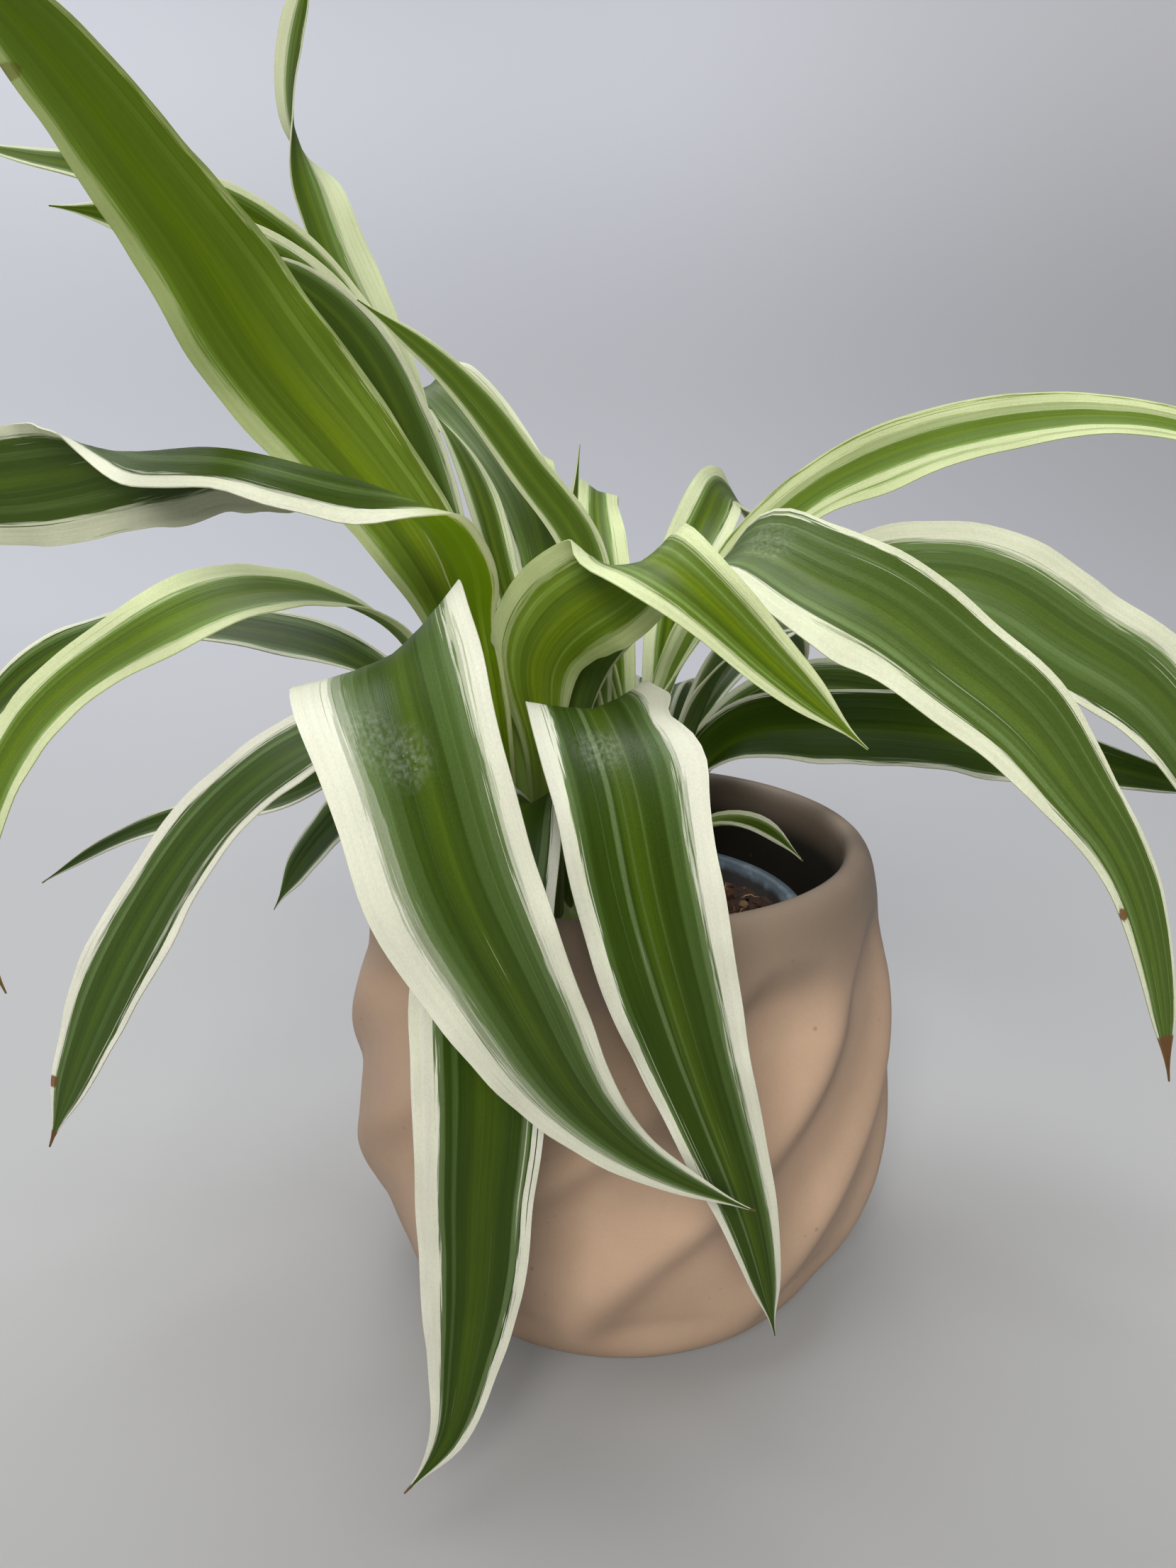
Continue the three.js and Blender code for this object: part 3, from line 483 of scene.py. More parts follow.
def leafFinish(name, stripes, young, key, sheenPaling=0.0, gloss=leafSkin["gloss"], paintsHighlights=False):
    # stripes run along the leaf, by the share of its width; the colours, the veins and the gloss all read
    # the leaf's own attributes, so they follow its bends
    look = leafSkin
    colour = tonesOf(young, sheenPaling)
    glowGreen, glowCream = (tuple(between(np.array(a), np.array(b), young)) for a, b in
                            (look["glowGreen"], look["glowCream"]))
    make = Finish(name)
    across, along, acrossMm = make.parts(make.attribute("leafPlace"))
    upper, brown, fresh = make.parts(make.attribute("leafMarks"))
    striped, paintedGlint, lit = make.parts(make.attribute("leafStripe"))

    def grained(kind, side):
        often, oftenAlong, detail, rough, shift = leafGrains[kind]
        return make.noise(make.joined(side * often, along * oftenAlong, key + shift), 1.0, detail, rough)

    # the greens first, then the cream over them. Each line of cells keeps its own colour, so that the
    # cream ends in streaks
    cell = grained("cell", across) - 0.5
    ray = grained("ray", across) - 0.5
    wander = grained("wander", across) - 0.5
    drifted = striped + wander * look["wander"]
    tone = make.ramp(drifted + cell * 0.02, stripeStops(greensUnder(stripes), colour, greenEdge))
    creamOf = {tone: look["creams"].get(tone, 0.0) for place, tone in stripes}
    streaked = drifted + cell * look["streak"] + ray * look["ray"]
    cream = make.ramp(streaked, stripeStops(stripes, creamOf, lambda old, new: look["edge"]))

    # thin dashes of green in the cream and of cream in the green, beside the cream's inner edges
    low = next(place for place, kind in stripes if kind not in look["creams"])
    high = stripes[-1][0]
    near = look["border"]
    border = make.ramp(striped, [(max(0.0, low - near), 0.0), (low, 1.0), (low + near, 0.0),
                                 (high - near, 0.0), (high, 1.0), (min(1.0, high + near), 0.0)])
    border = border * look["dashes"]
    dash = grained("dash", across) - 0.5
    cream = cream * (1.0 - make.rise(border - dash, *look["dashEdge"]))
    cream = cream + (1.0 - cream) * make.rise(border + dash, *look["dashEdge"]) * look["creams"]["pale"]
    hair = make.rise(grained("hair", across), *look["hairEdge"])
    tone = make.mixed(hair * look["hair"], tone, colour["sage"])
    # painted backlight: where strong light stands behind, the greens are painted brighter and the cream
    # yellower
    tone = make.mixed(lit, tone, make.tinted(tone, look["paintedBacklightTint"]))
    bundle = grained("bundle", across)
    creamTone = make.mixed(lit, colour["cream"], tones["cream"][1])
    lines = make.rise(bundle, *look["bundleEdge"]) * look["bundle"]
    creamTone = make.mixed(lines, creamTone, look["creamLine"])
    tone = make.mixed(cream, tone, creamTone)

    # veins, in lines too fine to model, and the cells between them
    fibre = grained("fibre", across)
    vein = make.node("ShaderNodeMath", {"operation": "SINE"}, {0: across * (look["veins"] * math.pi)})
    mottle = grained("mottle", acrossMm)
    grain = grained("grain", acrossMm)
    # on the lower face the lines are drawn twice as strong: painted darker veins, as veins show against light
    # passing through
    lined = ((fibre - 0.5) * 0.5 + (bundle - 0.5) * 0.5 + vein * 0.03) * (2.0 - upper)
    light = 1.0 + lined * (1.0 - cream * 0.5) + (mottle - 0.5) * 0.25 + (grain - 0.5) * 0.45
    tone = make.scaled(tone, light)
    tone = make.mixed((1.0 - upper) * (1.0 - lit) * look["under"], tone, colour["sage"])
    tone = make.mixed(fresh * look["sheathed"], tone, look["sheath"])
    rot = make.rise(brown + (grain - 0.5) * 0.5, *look["rotEdge"])
    tone = make.mixed(rot, tone, look["brown"])

    # painted highlights: pale specks and a soft sheen mixed into the colour around the glints
    if paintsHighlights:
        highlightSpecks = make.rise(grained("highlightSpeck", acrossMm), *look["highlightSpeckEdge"])
        highlightSheen = make.rise(grained("highlightSheen", acrossMm), *look["highlightSheenEdge"])
        paintedShine = highlightSpecks * look["highlightSpecks"] + highlightSheen * look["highlightSheen"]
        tone = make.mixed(paintedShine * paintedGlint, tone, look["highlightSpeck"])
    sparkle = make.rise(grain, 0.35, 0.75)
    roughness = 0.35 + sparkle * 0.16 + cream * 0.08 + (1.0 - upper) * 0.14
    veinHigh, fibreHigh, grainHigh, mottleHigh = look["relief"]
    height = vein * veinHigh + fibre * fibreHigh + grain * grainHigh + mottle * mottleHigh
    skin = make.skin(Base_Color=tone, Roughness=roughness, Specular_IOR_Level=gloss,
                     Normal=make.bumped(height, 0.55))
    green = make.blend(lit, make.veil(glowGreen), make.veil(look["glowGreen"][1]))
    veil = make.blend(cream, green, make.veil(glowCream))
    return make.done(make.blend(look["glow"] + lit * look["litGlow"], skin, veil))


# each leaf's cream shares at its low and high side, its youth, and its midrib's points: x, y, z, width, roll
# and, where it isn't the usual shallow channel, fold, in millimetres and degrees. Where the cream's width
# changes along the leaf, creamAlong has rows of the share of the length, low cream, high cream
frontLeaves = {
    "leaf_front_great": {"cream": (0.1, 0.175), "young": 0.08, "route": [
        (-19, -12, 80, 8, 0), (-22, -19, 106, 9, 5), (-27, -33, 125, 13, 12), (-31, -50, 140, 19, 22),
        (-35, -76, 150, 28, 31), (-30, -88, 138, 25, 25), (-25, -93, 123, 23.5, 25),
        (-18, -94, 108, 20, 25), (-10, -92, 92, 14, 25), (1, -89, 79, 7, 30), (18, -86, 68, 1.5, 35)]},
    "leaf_front_right": {"cream": (0.15, 0.13), "young": 0.05, "creamAlong": [
        (0.0, 0.12, 0.13), (0.45, 0.15, 0.13), (0.7, 0.14, 0.1), (1.0, 0.12, 0.11)], "route": [
        (-12, -10, 80, 8, 0), (-9, -17, 106, 9, 0), (-7, -27, 119, 14, 0), (-6, -37, 129, 18, 0),
        (-6, -54, 138, 23, 5), (-2, -66, 131, 24, 18), (1, -73, 118, 23, 25), (6, -77, 99, 20, 30),
        (12, -78, 80, 15, 30), (18, -78, 62, 10, 25), (24, -76, 36, 1.5, 25)]},
    "leaf_front_hang": {"cream": (0.09, 0.19), "young": 0.0, "creamAlong": [
        (0.0, 0.09, 0.18), (0.75, 0.09, 0.19), (0.9, 0.14, 0.18), (1.0, 0.2, 0.2)], "route": [
        (-15, -13, 80, 7, 0), (-15, -23, 105, 8, 0), (-17, -35, 115, 13, 0), (-19, -48, 119, 18, 0),
        (-22, -62, 112, 21, -10), (-24, -72, 98, 22, -15), (-24, -78, 81, 21, -20), (-25, -80, 66, 19, -20),
        (-26, -81, 48, 16, -20), (-28, -82, 33, 11, -20), (-31, -83, 21, 6, -25),
        (-38, -84, 11, 1.5, -25)]},
    "leaf_right_great": {"cream": (0.06, 0.18), "young": 0.3, "creamAlong": [
        (0.0, 0.07, 0.16), (0.35, 0.06, 0.19), (0.6, 0.06, 0.18), (0.8, 0.06, 0.13),
        (1.0, 0.08, 0.1)], "route": [
        (-12, -4, 80, 7, 0), (-11, -6, 106, 8, -20), (-10, -10, 126, 10, -45), (-5, -16, 142, 12, -50),
        (5, -23, 152, 14, -30), (15, -29, 158, 16, 5), (20, -33, 161, 18, 30), (29, -40, 158, 20, 50),
        (40, -47, 153, 20, 58), (51, -53, 145, 19, 60), (61, -58, 137, 16.5, 60), (69, -62, 127, 12.5, 60),
        (75, -64, 119, 9.5, 60), (81, -66, 106, 7, 60), (87, -69, 80, 1.5, 60)]},
    "leaf_centre_fold": {"cream": (0.15, 0.15), "young": 0.75, "route": [
        (-16, -9, 80, 7, 0), (-16, -13, 106, 8, -15), (-16, -19, 125, 13, -35), (-17, -25, 139, 19.5, -45),
        (-13, -33, 148, 22, -52), (-7, -41, 154, 22, -58), (-1, -48, 159, 20, -28), (2, -54, 162, 17, 28),
        (8, -59, 159, 13, 45), (18, -62, 150, 9.5, 52), (35, -66, 135, 1.5, 55)]},
    "leaf_reach": {"cream": (0.045, 0.125), "young": 0.8, "route": [
        (-20, -7, 80, 7, 0), (-21, -9, 108, 8, 10), (-28, -11, 132, 12, 20), (-36, -14, 155, 16, 35),
        (-46, -20, 172, 20, 40), (-59, -32, 191, 23, 40), (-64, -49, 205, 19, 40),
        (-67, -65, 214, 15, 35), (-69, -84, 222, 11, 35), (-71, -106, 228, 2, 35)]},
    "leaf_twist_left": {"cream": (0.14, 0.15), "young": 0.15, "creamAlong": [
        (0.0, 0.05, 0.05), (0.36, 0.05, 0.06), (0.45, 0.13, 0.10), (0.52, 0.10, 0.12),
        (0.6, 0.085, 0.17), (0.8, 0.07, 0.2), (1.0, 0.09, 0.15)], "route": [
        (-21, -10, 80, 7, 0, 13), (-24, -15, 106, 8, 10, 13), (-26, -19, 130, 10, 25, 13),
        (-29, -23, 150, 12, 40, 13), (-30, -35, 160, 17, 42, 13), (-35, -49, 170, 18, 26, 0),
        (-44, -60, 175, 19, 3, -54), (-56, -61, 178, 22, 13, -62), (-70, -52, 178, 26, 32, -54),
        (-85, -41, 175, 22, 60, -22), (-110, -28, 171, 20, 84, 5), (-127, -22, 170, 14, 85, 13),
        (-149, -15, 167, 1.5, 85, 13)]},
    "leaf_arch_left": {"cream": (0.15, 0.2), "young": 0.7, "route": [
        (-24, -8, 80, 7, 0), (-31, -9, 106, 8, 0), (-37, -11, 128, 11, -5), (-44, -15, 144, 12, 0),
        (-57, -22, 152, 14, -12), (-69, -29, 153, 15, -36), (-86, -35, 146, 14, -42),
        (-102, -40, 134, 11, -48), (-112, -43, 118, 9, -60), (-116, -45, 101, 6, -70),
        (-112, -46, 84, 1.5, -70)]},
    "leaf_low_left": {"cream": (0.08, 0.08), "young": 0.2, "route": [
        (-25, -3, 80, 7, 0), (-31, -3, 104, 8, 0), (-44, -1, 127, 11, -10), (-58, 0, 137, 13, -25),
        (-75, -1, 142, 13, -30), (-103, -4, 142, 12, -30), (-122, -7, 132, 10, -45),
        (-141, -9, 99, 1.5, -50)]},
    "leaf_drop_left": {"cream": (0.09, 0.12), "young": 0.0, "route": [
        (-22, -13, 80, 7, 0), (-30, -19, 104, 9, 0), (-39, -27, 122, 13, -5), (-48, -34, 129, 16, -10),
        (-62, -42, 125, 15, -25), (-74, -50, 114, 14, -30), (-82, -55, 102, 14, -35),
        (-88, -58, 91, 13, -40), (-94, -60, 78, 8.5, -50), (-100, -62, 63, 1.5, -60)]},
    "leaf_thin_left": {"cream": (0.1, 0.08), "young": 0.0, "route": [
        (-27, -6, 80, 6, 0), (-33, -8, 98, 7, 0), (-41, -8, 110, 8, -10), (-50, -7, 115, 9, -20),
        (-66, -7, 110, 8, -30), (-95, -6, 103, 6, -35), (-123, -5, 89, 1.5, -40)]},
    "leaf_back_drop": {"cream": (0.08, 0.07), "young": 0.0, "route": [
        (-25, 1, 80, 6, 0), (-32, 6, 96, 7, 0), (-41, 12, 104, 9, -20), (-51, 17, 104, 12, -45),
        (-68, 22, 91, 12, -60), (-76, 24, 81, 9, -60), (-83, 25, 70, 1.5, -60)]},
    "leaf_top_twist": {"cream": (0.36, 0.035), "young": 0.45, "route": [
        (-17, 2, 80, 7, 0), (-18, 7, 110, 8, 0), (-29, 18, 144, 10, 30), (-42, 27, 176, 11, 60),
        (-53, 33, 202, 12, 95), (-60, 35, 217, 12, 115), (-65, 36, 231, 10, 155), (-69, 37, 242, 8, 243),
        (-69, 37, 251, 9, 262), (-61, 33, 272, 1.5, 280)]},
    "leaf_back_high": {"cream": (0.14, 0.12), "young": 0.5, "route": [
        (-21, 3, 80, 7, 0), (-25, 8, 108, 8, 0), (-34, 13, 146, 10, -20), (-44, 15, 180, 12, -50),
        (-54, 15, 200, 11, -80), (-63, 11, 212, 10, -90), (-76, 4, 221, 9, -90), (-97, -10, 225, 6, -60),
        (-102, -16, 225, 4.5, -50), (-112, -22, 227, 1.5, -45)]},
    "leaf_back_tip": {"cream": (0.13, 0.13), "young": 0.4, "route": [
        (-24, 0, 80, 7, 0), (-28, 1, 108, 8, 0), (-35, 2, 145, 11, -25), (-42, 1, 180, 12, -60),
        (-49, -3, 194, 11, -90), (-57, -7, 204, 11, -95), (-65, -11, 210, 10, -95),
        (-82, -20, 215, 7, -100), (-95, -27, 216, 1.5, -105)]},
    "leaf_dark_back": {"cream": (0.08, 0.08), "young": 0.2, "route": [
        (-21, -2, 80, 7, 0), (-24, -4, 110, 8, 10), (-30, -6, 142, 10, 20), (-37, -9, 170, 11, 35),
        (-42, -12, 184, 11, 55), (-48, -16, 196, 10, 60), (-57, -21, 205, 7, 60),
        (-67, -28, 210, 1.5, 60)]},
    "leaf_pale_left": {"cream": (0.16, 0.15), "young": 0.4, "route": [
        (-22, 0, 80, 6, 0), (-27, 8, 102, 8, 0), (-32, 12, 122, 10, -25), (-34, 22, 138, 11, -30),
        (-35, 36, 144, 12, -20), (-37, 56, 142, 12, -10), (-39, 80, 126, 11, 0), (-40, 98, 104, 8, 10),
        (-40, 106, 86, 1.5, 10)]},
    "leaf_inner_fold": {"cream": (0.16, 0.15), "young": 0.6, "route": [
        (-14, 1, 80, 6, 0), (-14, 3, 110, 7, 0), (-20, 8, 132, 9, 0), (-26, 12, 153, 9, 0),
        (-30, 17, 167, 9, 0), (-35, 22, 177, 6, 0), (-41, 28, 185, 1.5, 0)]},
    "leaf_low_back": {"cream": (0.1, 0.11), "young": 0.1, "route": [
        (-18, 4, 80, 7, 0), (-19, 14, 101, 9, 0), (-20, 29, 118, 15, 0), (-20, 48, 121, 18, 0),
        (-24, 68, 114, 18, 5), (-28, 84, 100, 14, 5), (-32, 94, 82, 9, 5), (-34, 100, 62, 1.5, 5)]},
}

backLeaves = {
    "leaf_right_wide": {"cream": (0.15, 0.06), "young": 0.2, "creamAlong": [
        (0.0, 0.06, 0.06), (0.35, 0.06, 0.06), (0.5, 0.16, 0.06), (1.0, 0.15, 0.06)], "route": [
        (5, 2, 80, 8, 0), (9, -1, 102, 9, 0), (14, -4, 121, 13, 10), (21, -7, 138, 17, 15),
        (36, -13, 150, 20, 35), (52, -20, 155, 22, 55), (67, -25, 153, 22, 60), (78, -29, 146, 22, 60),
        (91, -32, 138, 20, 60), (102, -35, 125, 16, 60), (112, -37, 108, 10, 60), (120, -38, 88, 1.5, 60)]},
    "leaf_right_high": {"cream": (0.35, 0.25), "young": 0.8, "route": [
        (1, 2, 80, 7, 0), (3, 0, 108, 8, 0), (9, -2, 130, 10, 30), (17, -4, 148, 10, 55),
        (32, -8, 167, 10, 75), (42, -12, 174, 11, 75), (57, -18, 180, 11, 75), (73, -23, 183, 9, 70),
        (92, -28, 182, 6, 60), (108, -32, 174, 4.5, 60), (118, -35, 161, 1.5, 60)]},
    "leaf_right_low": {"cream": (0.04, 0.05), "young": 0.05, "route": [
        (7, 6, 80, 7, 0), (12, 5, 98, 9, 10), (17, 2, 111, 14, 30), (24, -1, 119, 17, 40),
        (36, -4, 122, 18, 45), (58, -6, 122, 18, 45), (80, -8, 119, 16, 45), (101, -10, 115, 9, 45),
        (121, -11, 110, 1.5, 45)]},
    "leaf_right_under": {"cream": (0.1, 0.11), "young": 0.3, "route": [
        (7, 10, 80, 7, 0), (13, 12, 102, 8, 10), (24, 13, 120, 11, 30), (39, 13, 127, 13, 45),
        (57, 12, 126, 13, 45), (83, 9, 118, 10, 45), (110, 6, 108, 1.5, 45)]},
    "leaf_small": {"cream": (0.13, 0.13), "young": 0.3, "route": [
        (6, 4, 80, 4, 0), (12, -2, 94, 5, 0), (18, -3, 101, 5, 20), (27, -2, 101, 6, 40),
        (39, 0, 92, 1.5, 45)]},
    "leaf_peak_right": {"cream": (0.22, 0.18), "young": 0.6, "route": [
        (4, 13, 80, 7, 0), (7, 19, 106, 8, 0), (10, 26, 130, 11, 10), (15, 33, 152, 13, 25),
        (21, 43, 163, 14, 40), (25, 55, 167, 13, 50), (33, 68, 160, 12, 35), (44, 84, 147, 9, 10),
        (56, 98, 127, 1.5, -10)]},
    "leaf_pale_back": {"cream": (0.26, 0.26), "young": 0.8, "route": [
        (0, 14, 80, 7, 0), (1, 20, 108, 8, 0), (-1, 29, 132, 11, 0), (-4, 39, 154, 12, 0),
        (-5, 50, 162, 11, 15), (-5, 64, 166, 10.5, 25), (-4, 84, 156, 10, 10), (-3, 104, 135, 8, 5),
        (-1, 116, 114, 1.5, 5)]},
    "leaf_young": {"cream": (0.1, 0.1), "young": 0.9, "route": [
        (1, 9, 80, 5, 0), (0, 11, 112, 6, 0), (-6, 13, 140, 6, 0), (-11, 13, 161, 5, 0),
        (-10, 13, 170, 3.5, 0), (-9, 13, 178, 1.5, 0)]},
    "leaf_long_thin": {"cream": (0.11, 0.10), "young": 0.6, "route": [
        (-3, 6, 80, 7, 0), (-5, 5, 112, 8, -20), (-6, 6, 138, 9, -70), (-9, 6, 159, 9, -110),
        (-18, 2, 172, 8, -110), (-26, -2, 183, 7, -110), (-35, -7, 193, 5, -110),
        (-48, -14, 203, 1.5, -110)]},
    "leaf_broad_back": {"cream": (0.1, 0.12), "young": 0.3, "route": [
        (-5, 10, 80, 8, 0), (-11, 15, 106, 9, 0), (-15, 21, 136, 12, -15), (-20, 28, 164, 14, -30),
        (-30, 38, 180, 16, -40), (-43, 54, 191, 15, -35), (-49, 74, 184, 13, -20),
        (-53, 92, 167, 9, -5), (-56, 106, 147, 1.5, 0)]},
    "leaf_bright_back": {"cream": (0.2, 0.22), "young": 0.85, "route": [
        (-3, 12, 80, 7, 0), (-6, 20, 108, 8, 0), (-10, 26, 136, 11, 0), (-15, 31, 160, 13, 15),
        (-20, 42, 172, 14, 30), (-23, 60, 177, 13, 36), (-24, 82, 169, 11, 25), (-25, 102, 153, 8, 5),
        (-25, 114, 132, 1.5, 0)]},
    "leaf_back_right": {"cream": (0.11, 0.1), "young": 0.1, "route": [
        (3, 12, 80, 7, 0), (8, 25, 104, 9, 0), (10, 44, 117, 15, 0), (13, 64, 116, 18, 0),
        (16, 82, 104, 15, 0), (19, 94, 86, 10, 0), (21, 101, 64, 1.5, 0)]},
    "leaf_back_far": {"cream": (0.12, 0.1), "young": 0.1, "route": [
        (6, 12, 80, 7, 0), (13, 20, 104, 9, 0), (23, 34, 122, 13, 0), (34, 50, 130, 15, 0),
        (42, 66, 130, 14, 0), (48, 80, 122, 10, 0), (52, 92, 107, 1.5, 0)]},
}

blade = {  # millimetres and degrees, as the leaf solids have them, and then what only shows close up
    "baseThickness": 1.3, "baseFold": 58.0, "midFold": 13.0, "foldLength": 55.0, "wave": 0.5,
    "waveLength": 27.0, "thickness": 0.52, "edgeThickness": 0.26, "step": 2.0, "places": 31,
    "groove": 0.22, "keel": 0.35, "midribWidth": 0.07, "drift": 0.11, "pleat": 0.045, "pleats": 3.5,
    "crimp": 0.24, "crimpLength": 10.5, "crimpSwell": 61.0, "driftLengths": (37.0, 17.0), "baseEdge": 0.5,
    "fullHalf": 9.0, "sheathLength": 22.0, "tipLength": 16.0, "tipShare": 0.2,
}


def leafLine(route):
    # a natural spline through the route over the running length of its chords. Across is level and square
    # to the way the leaf heads in plan, then turned about the leaf by the roll; up is across times along
    rows = np.array([(*row, blade["midFold"])[:6] for row in route], float)
    knots = runningLength(rows[:, :3])
    curve = naturalSpline(knots, rows)
    heading = unit(rows[-1, :2] - rows[0, :2])
    side = np.array([heading[1], -heading[0], 0.0])

    def at(s):
        now = curve(s)
        ahead = curve(np.minimum(knots[-1], s + 0.5))[:, :3]
        along = unit(ahead - curve(np.maximum(0.0, s - 0.5))[:, :3])
        level = unit(side - along * (along @ side)[:, None])
        roll = np.radians(now[:, 4:5])
        across = level * np.cos(roll) + np.cross(along, level) * np.sin(roll)
        return now[:, :3], across, np.cross(across, along), np.maximum(1.2, now[:, 3]), now[:, 5:]

    return knots, at


def bladeSurface(route, phase, start, stop, swells=()):
    # a shallow channel: each section rises from the midrib by sin(fold) times the distance out, its margin
    # is waved, its upper face is grooved and its lower face keeled along the midrib, and it thins outwards.
    # Returns the points, the quads and each point's across (-1 to 1), along (mm) and face (1 is upper)
    knots, line = leafLine(route)
    s = np.linspace(start, stop, max(3, math.ceil((stop - start) / blade["step"]) + 1))
    at, across, up, width, fold = line(s)
    v = np.linspace(-1.0, 1.0, blade["places"])
    u = v * (1.18 - 0.18 * v * v)
    young = (1.0 - smooth((s - knots[1]) / blade["foldLength"]))[:, None]
    fold = np.radians(between(fold, blade["baseFold"], young))
    nearTip = smooth((s - knots[-1] + blade["tipLength"]) / blade["tipLength"])
    point = 1.0 - (1.0 - blade["tipShare"]) * nearTip ** 2
    half = (width * point)[:, None] / 2.0
    grown = (1.0 - young) * np.minimum(1.0, half / blade["fullHalf"])
    turn = 2.0 * math.pi * s[:, None]
    ripple = blade["wave"] * grown * u * u * np.sin(turn / blade["waveLength"] + phase + 2.0 * np.sign(u))
    swelling = np.sin(turn / blade["crimpSwell"] + 2.3 * phase + 3.0 * np.sign(u))
    crimpSize = blade["crimp"] * grown * (0.55 + 0.45 * swelling)
    crimp = np.sin(turn / blade["crimpLength"] + 1.3 * phase + 4.0 * np.sign(u))
    ripple = ripple + crimpSize * np.abs(u) ** 5 * crimp
    pleats = blade["pleat"] * grown * (1.0 - u ** 4) * np.cos(2.0 * math.pi * blade["pleats"] * u)
    rise = np.sin(fold) * half * (np.hypot(u, 0.3) - 0.3) + ripple + pleats
    slope = np.sin(fold) * u / np.hypot(u, 0.3)
    normal = unit(up[:, None, :] * np.cos(fold)[..., None] - across[:, None, :] * slope[..., None])
    longDrift, shortDrift = blade["driftLengths"]
    margin = np.sin(turn / longDrift + 1.9 * phase + 2.6 * np.sign(u))
    margin = margin + 0.7 * np.sin(turn / shortDrift + 3.1 * phase + 1.4 * np.sign(u))
    swell = blade["drift"] * grown * margin
    for share, sideOf, size, spread in swells:
        swell = swell + size * bell(s[:, None] - share * knots[-1], spread) * (np.sign(u) == sideOf)
    out = half * u * np.cos(fold) + swell * np.abs(u) ** 3 * np.sign(u)
    middle = at[:, None, :] + across[:, None, :] * out[..., None] + up[:, None, :] * rise[..., None]
    full = between(blade["thickness"], blade["baseThickness"], young)
    edge = between(blade["edgeThickness"], blade["baseEdge"], young)
    thick = between(full, edge, u ** 4) / 2.0 * np.minimum(1.0, 0.35 + half / 3.0)
    rib = bell(u, blade["midribWidth"]) * grown
    top = middle + normal * (thick - blade["groove"] * rib)[..., None]
    bottom = middle - normal * (thick + blade["keel"] * rib)[..., None]
    rings = np.concatenate([top, bottom[:, ::-1]], axis=1)
    stations, around = rings.shape[:2]
    quads = ringQuads(stations, around)
    upperIndex = np.arange(blade["places"] - 1)
    lowerIndex = around - 1 - upperIndex
    startCap = np.stack([upperIndex, lowerIndex, lowerIndex - 1, upperIndex + 1], -1)
    stopCap = np.stack([upperIndex, upperIndex + 1, lowerIndex - 1, lowerIndex], -1) + (stations - 1) * around
    shares = np.broadcast_to(np.concatenate([u, u[::-1]]), (stations, around))
    lengths = np.broadcast_to(s[:, None], (stations, around))
    faces = np.broadcast_to(np.repeat([1.0, 0.0], blade["places"]), (stations, around))
    return {
        "points": rings.reshape(-1, 3), "quads": np.concatenate([quads, startCap, stopCap]),
        "across": shares.ravel(), "along": lengths.ravel(), "upper": faces.ravel(),
        "half": np.broadcast_to(half, (stations, around)).ravel(), "knots": knots,
    }


def stripePlace(part, cream, widths):
    # the share of the width, from the low side, stretched so that the cream takes the given widths along the
    # leaf: rows of the share of the length, then the low and the high cream there
    plain = part["across"] * 0.5 + 0.5
    if not widths:
        return plain
    rows = np.array(widths, float)
    place = part["along"] / part["knots"][-1]
    low = np.interp(place, rows[:, 0], rows[:, 1])
    high = 1.0 - np.interp(place, rows[:, 0], rows[:, 2])
    middle = cream[0] + (plain - low) / (high - low) * (1.0 - cream[0] - cream[1])
    lowPart = plain / low * cream[0]
    highPart = 1.0 - (1.0 - plain) / (1.0 - high) * cream[1]
    return np.where(plain < low, lowPart, np.where(plain > high, highPart, middle))


def storeLeafMarks(mesh, part, brown, fresh, striped, paintedGlint, lit):
    store(mesh, "leafStripe", np.stack([striped, paintedGlint, lit], -1))
    store(mesh, "leafPlace", np.stack([part["across"], part["along"], part["across"] * part["half"]], -1))
    store(mesh, "leafMarks", np.stack([part["upper"], brown, fresh], -1))


# dead tips and blemishes: the length of a brown tip, and spots by share of the length, across and size in mm
blemishes = {
    "leaf_front_great": {"tip": 2.0}, "leaf_front_hang": {"tip": 3.0},
    "leaf_drop_left": {"tip": 4.5, "spots": [(0.923, 0.95, 0.9)]},
    "leaf_right_great": {"tip": 9.0, "spots": [(0.86, 0.85, 1.0)]},
    "leaf_reach": {"tip": 3.0, "spots": [(0.895, 0.95, 1.7)]}, "leaf_arch_left": {"tip": 6.0},
    "leaf_small": {"tip": 1.6}, "leaf_thin_left": {"tip": 2.0}, "leaf_right_low": {"tip": 3.0},
    "leaf_low_left": {"tip": 3.0}, "leaf_back_far": {"tip": 2.5}, "leaf_low_back": {"tip": 3.5},
}

# small sparkling highlights painted into the colour, by the same three numbers
paintedGlints = {
    "leaf_front_great": [(0.565, 0.08, 3.2), (0.545, 0.42, 3.4)],
    "leaf_front_right": [(0.452, 0.2, 3.0)], "leaf_right_great": [(0.47, -0.25, 3.6)],
}

# stretches that glow with light from behind, painted brighter in colour and letting more light through: how
# strongly, and the shares of the length where the glow begins, is full, starts to fade and ends
litStretches = {
    "leaf_twist_left": (1.0, 0.08, 0.14, 0.43, 0.49), "leaf_centre_fold": (0.25, 0.15, 0.3, 0.55, 0.62),
    "leaf_reach": (0.18, 0.1, 0.2, 0.8, 1.0),
}

# leaves whose greens are painted paler and more even than the rest, a painted sheen, by how much, and those
# that shine less
sheenPaledLeaves = {
    "leaf_right_great": 0.3, "leaf_right_wide": 0.33, "leaf_right_high": 0.4, "leaf_drop_left": 0.25,
    "leaf_front_great": 0.05, "leaf_arch_left": 0.2, "leaf_long_thin": 0.3, "leaf_broad_back": 0.3,
}
dullLeaves = {"leaf_right_low": 0.12, "leaf_right_under": 0.2, "leaf_twist_left": 0.18}

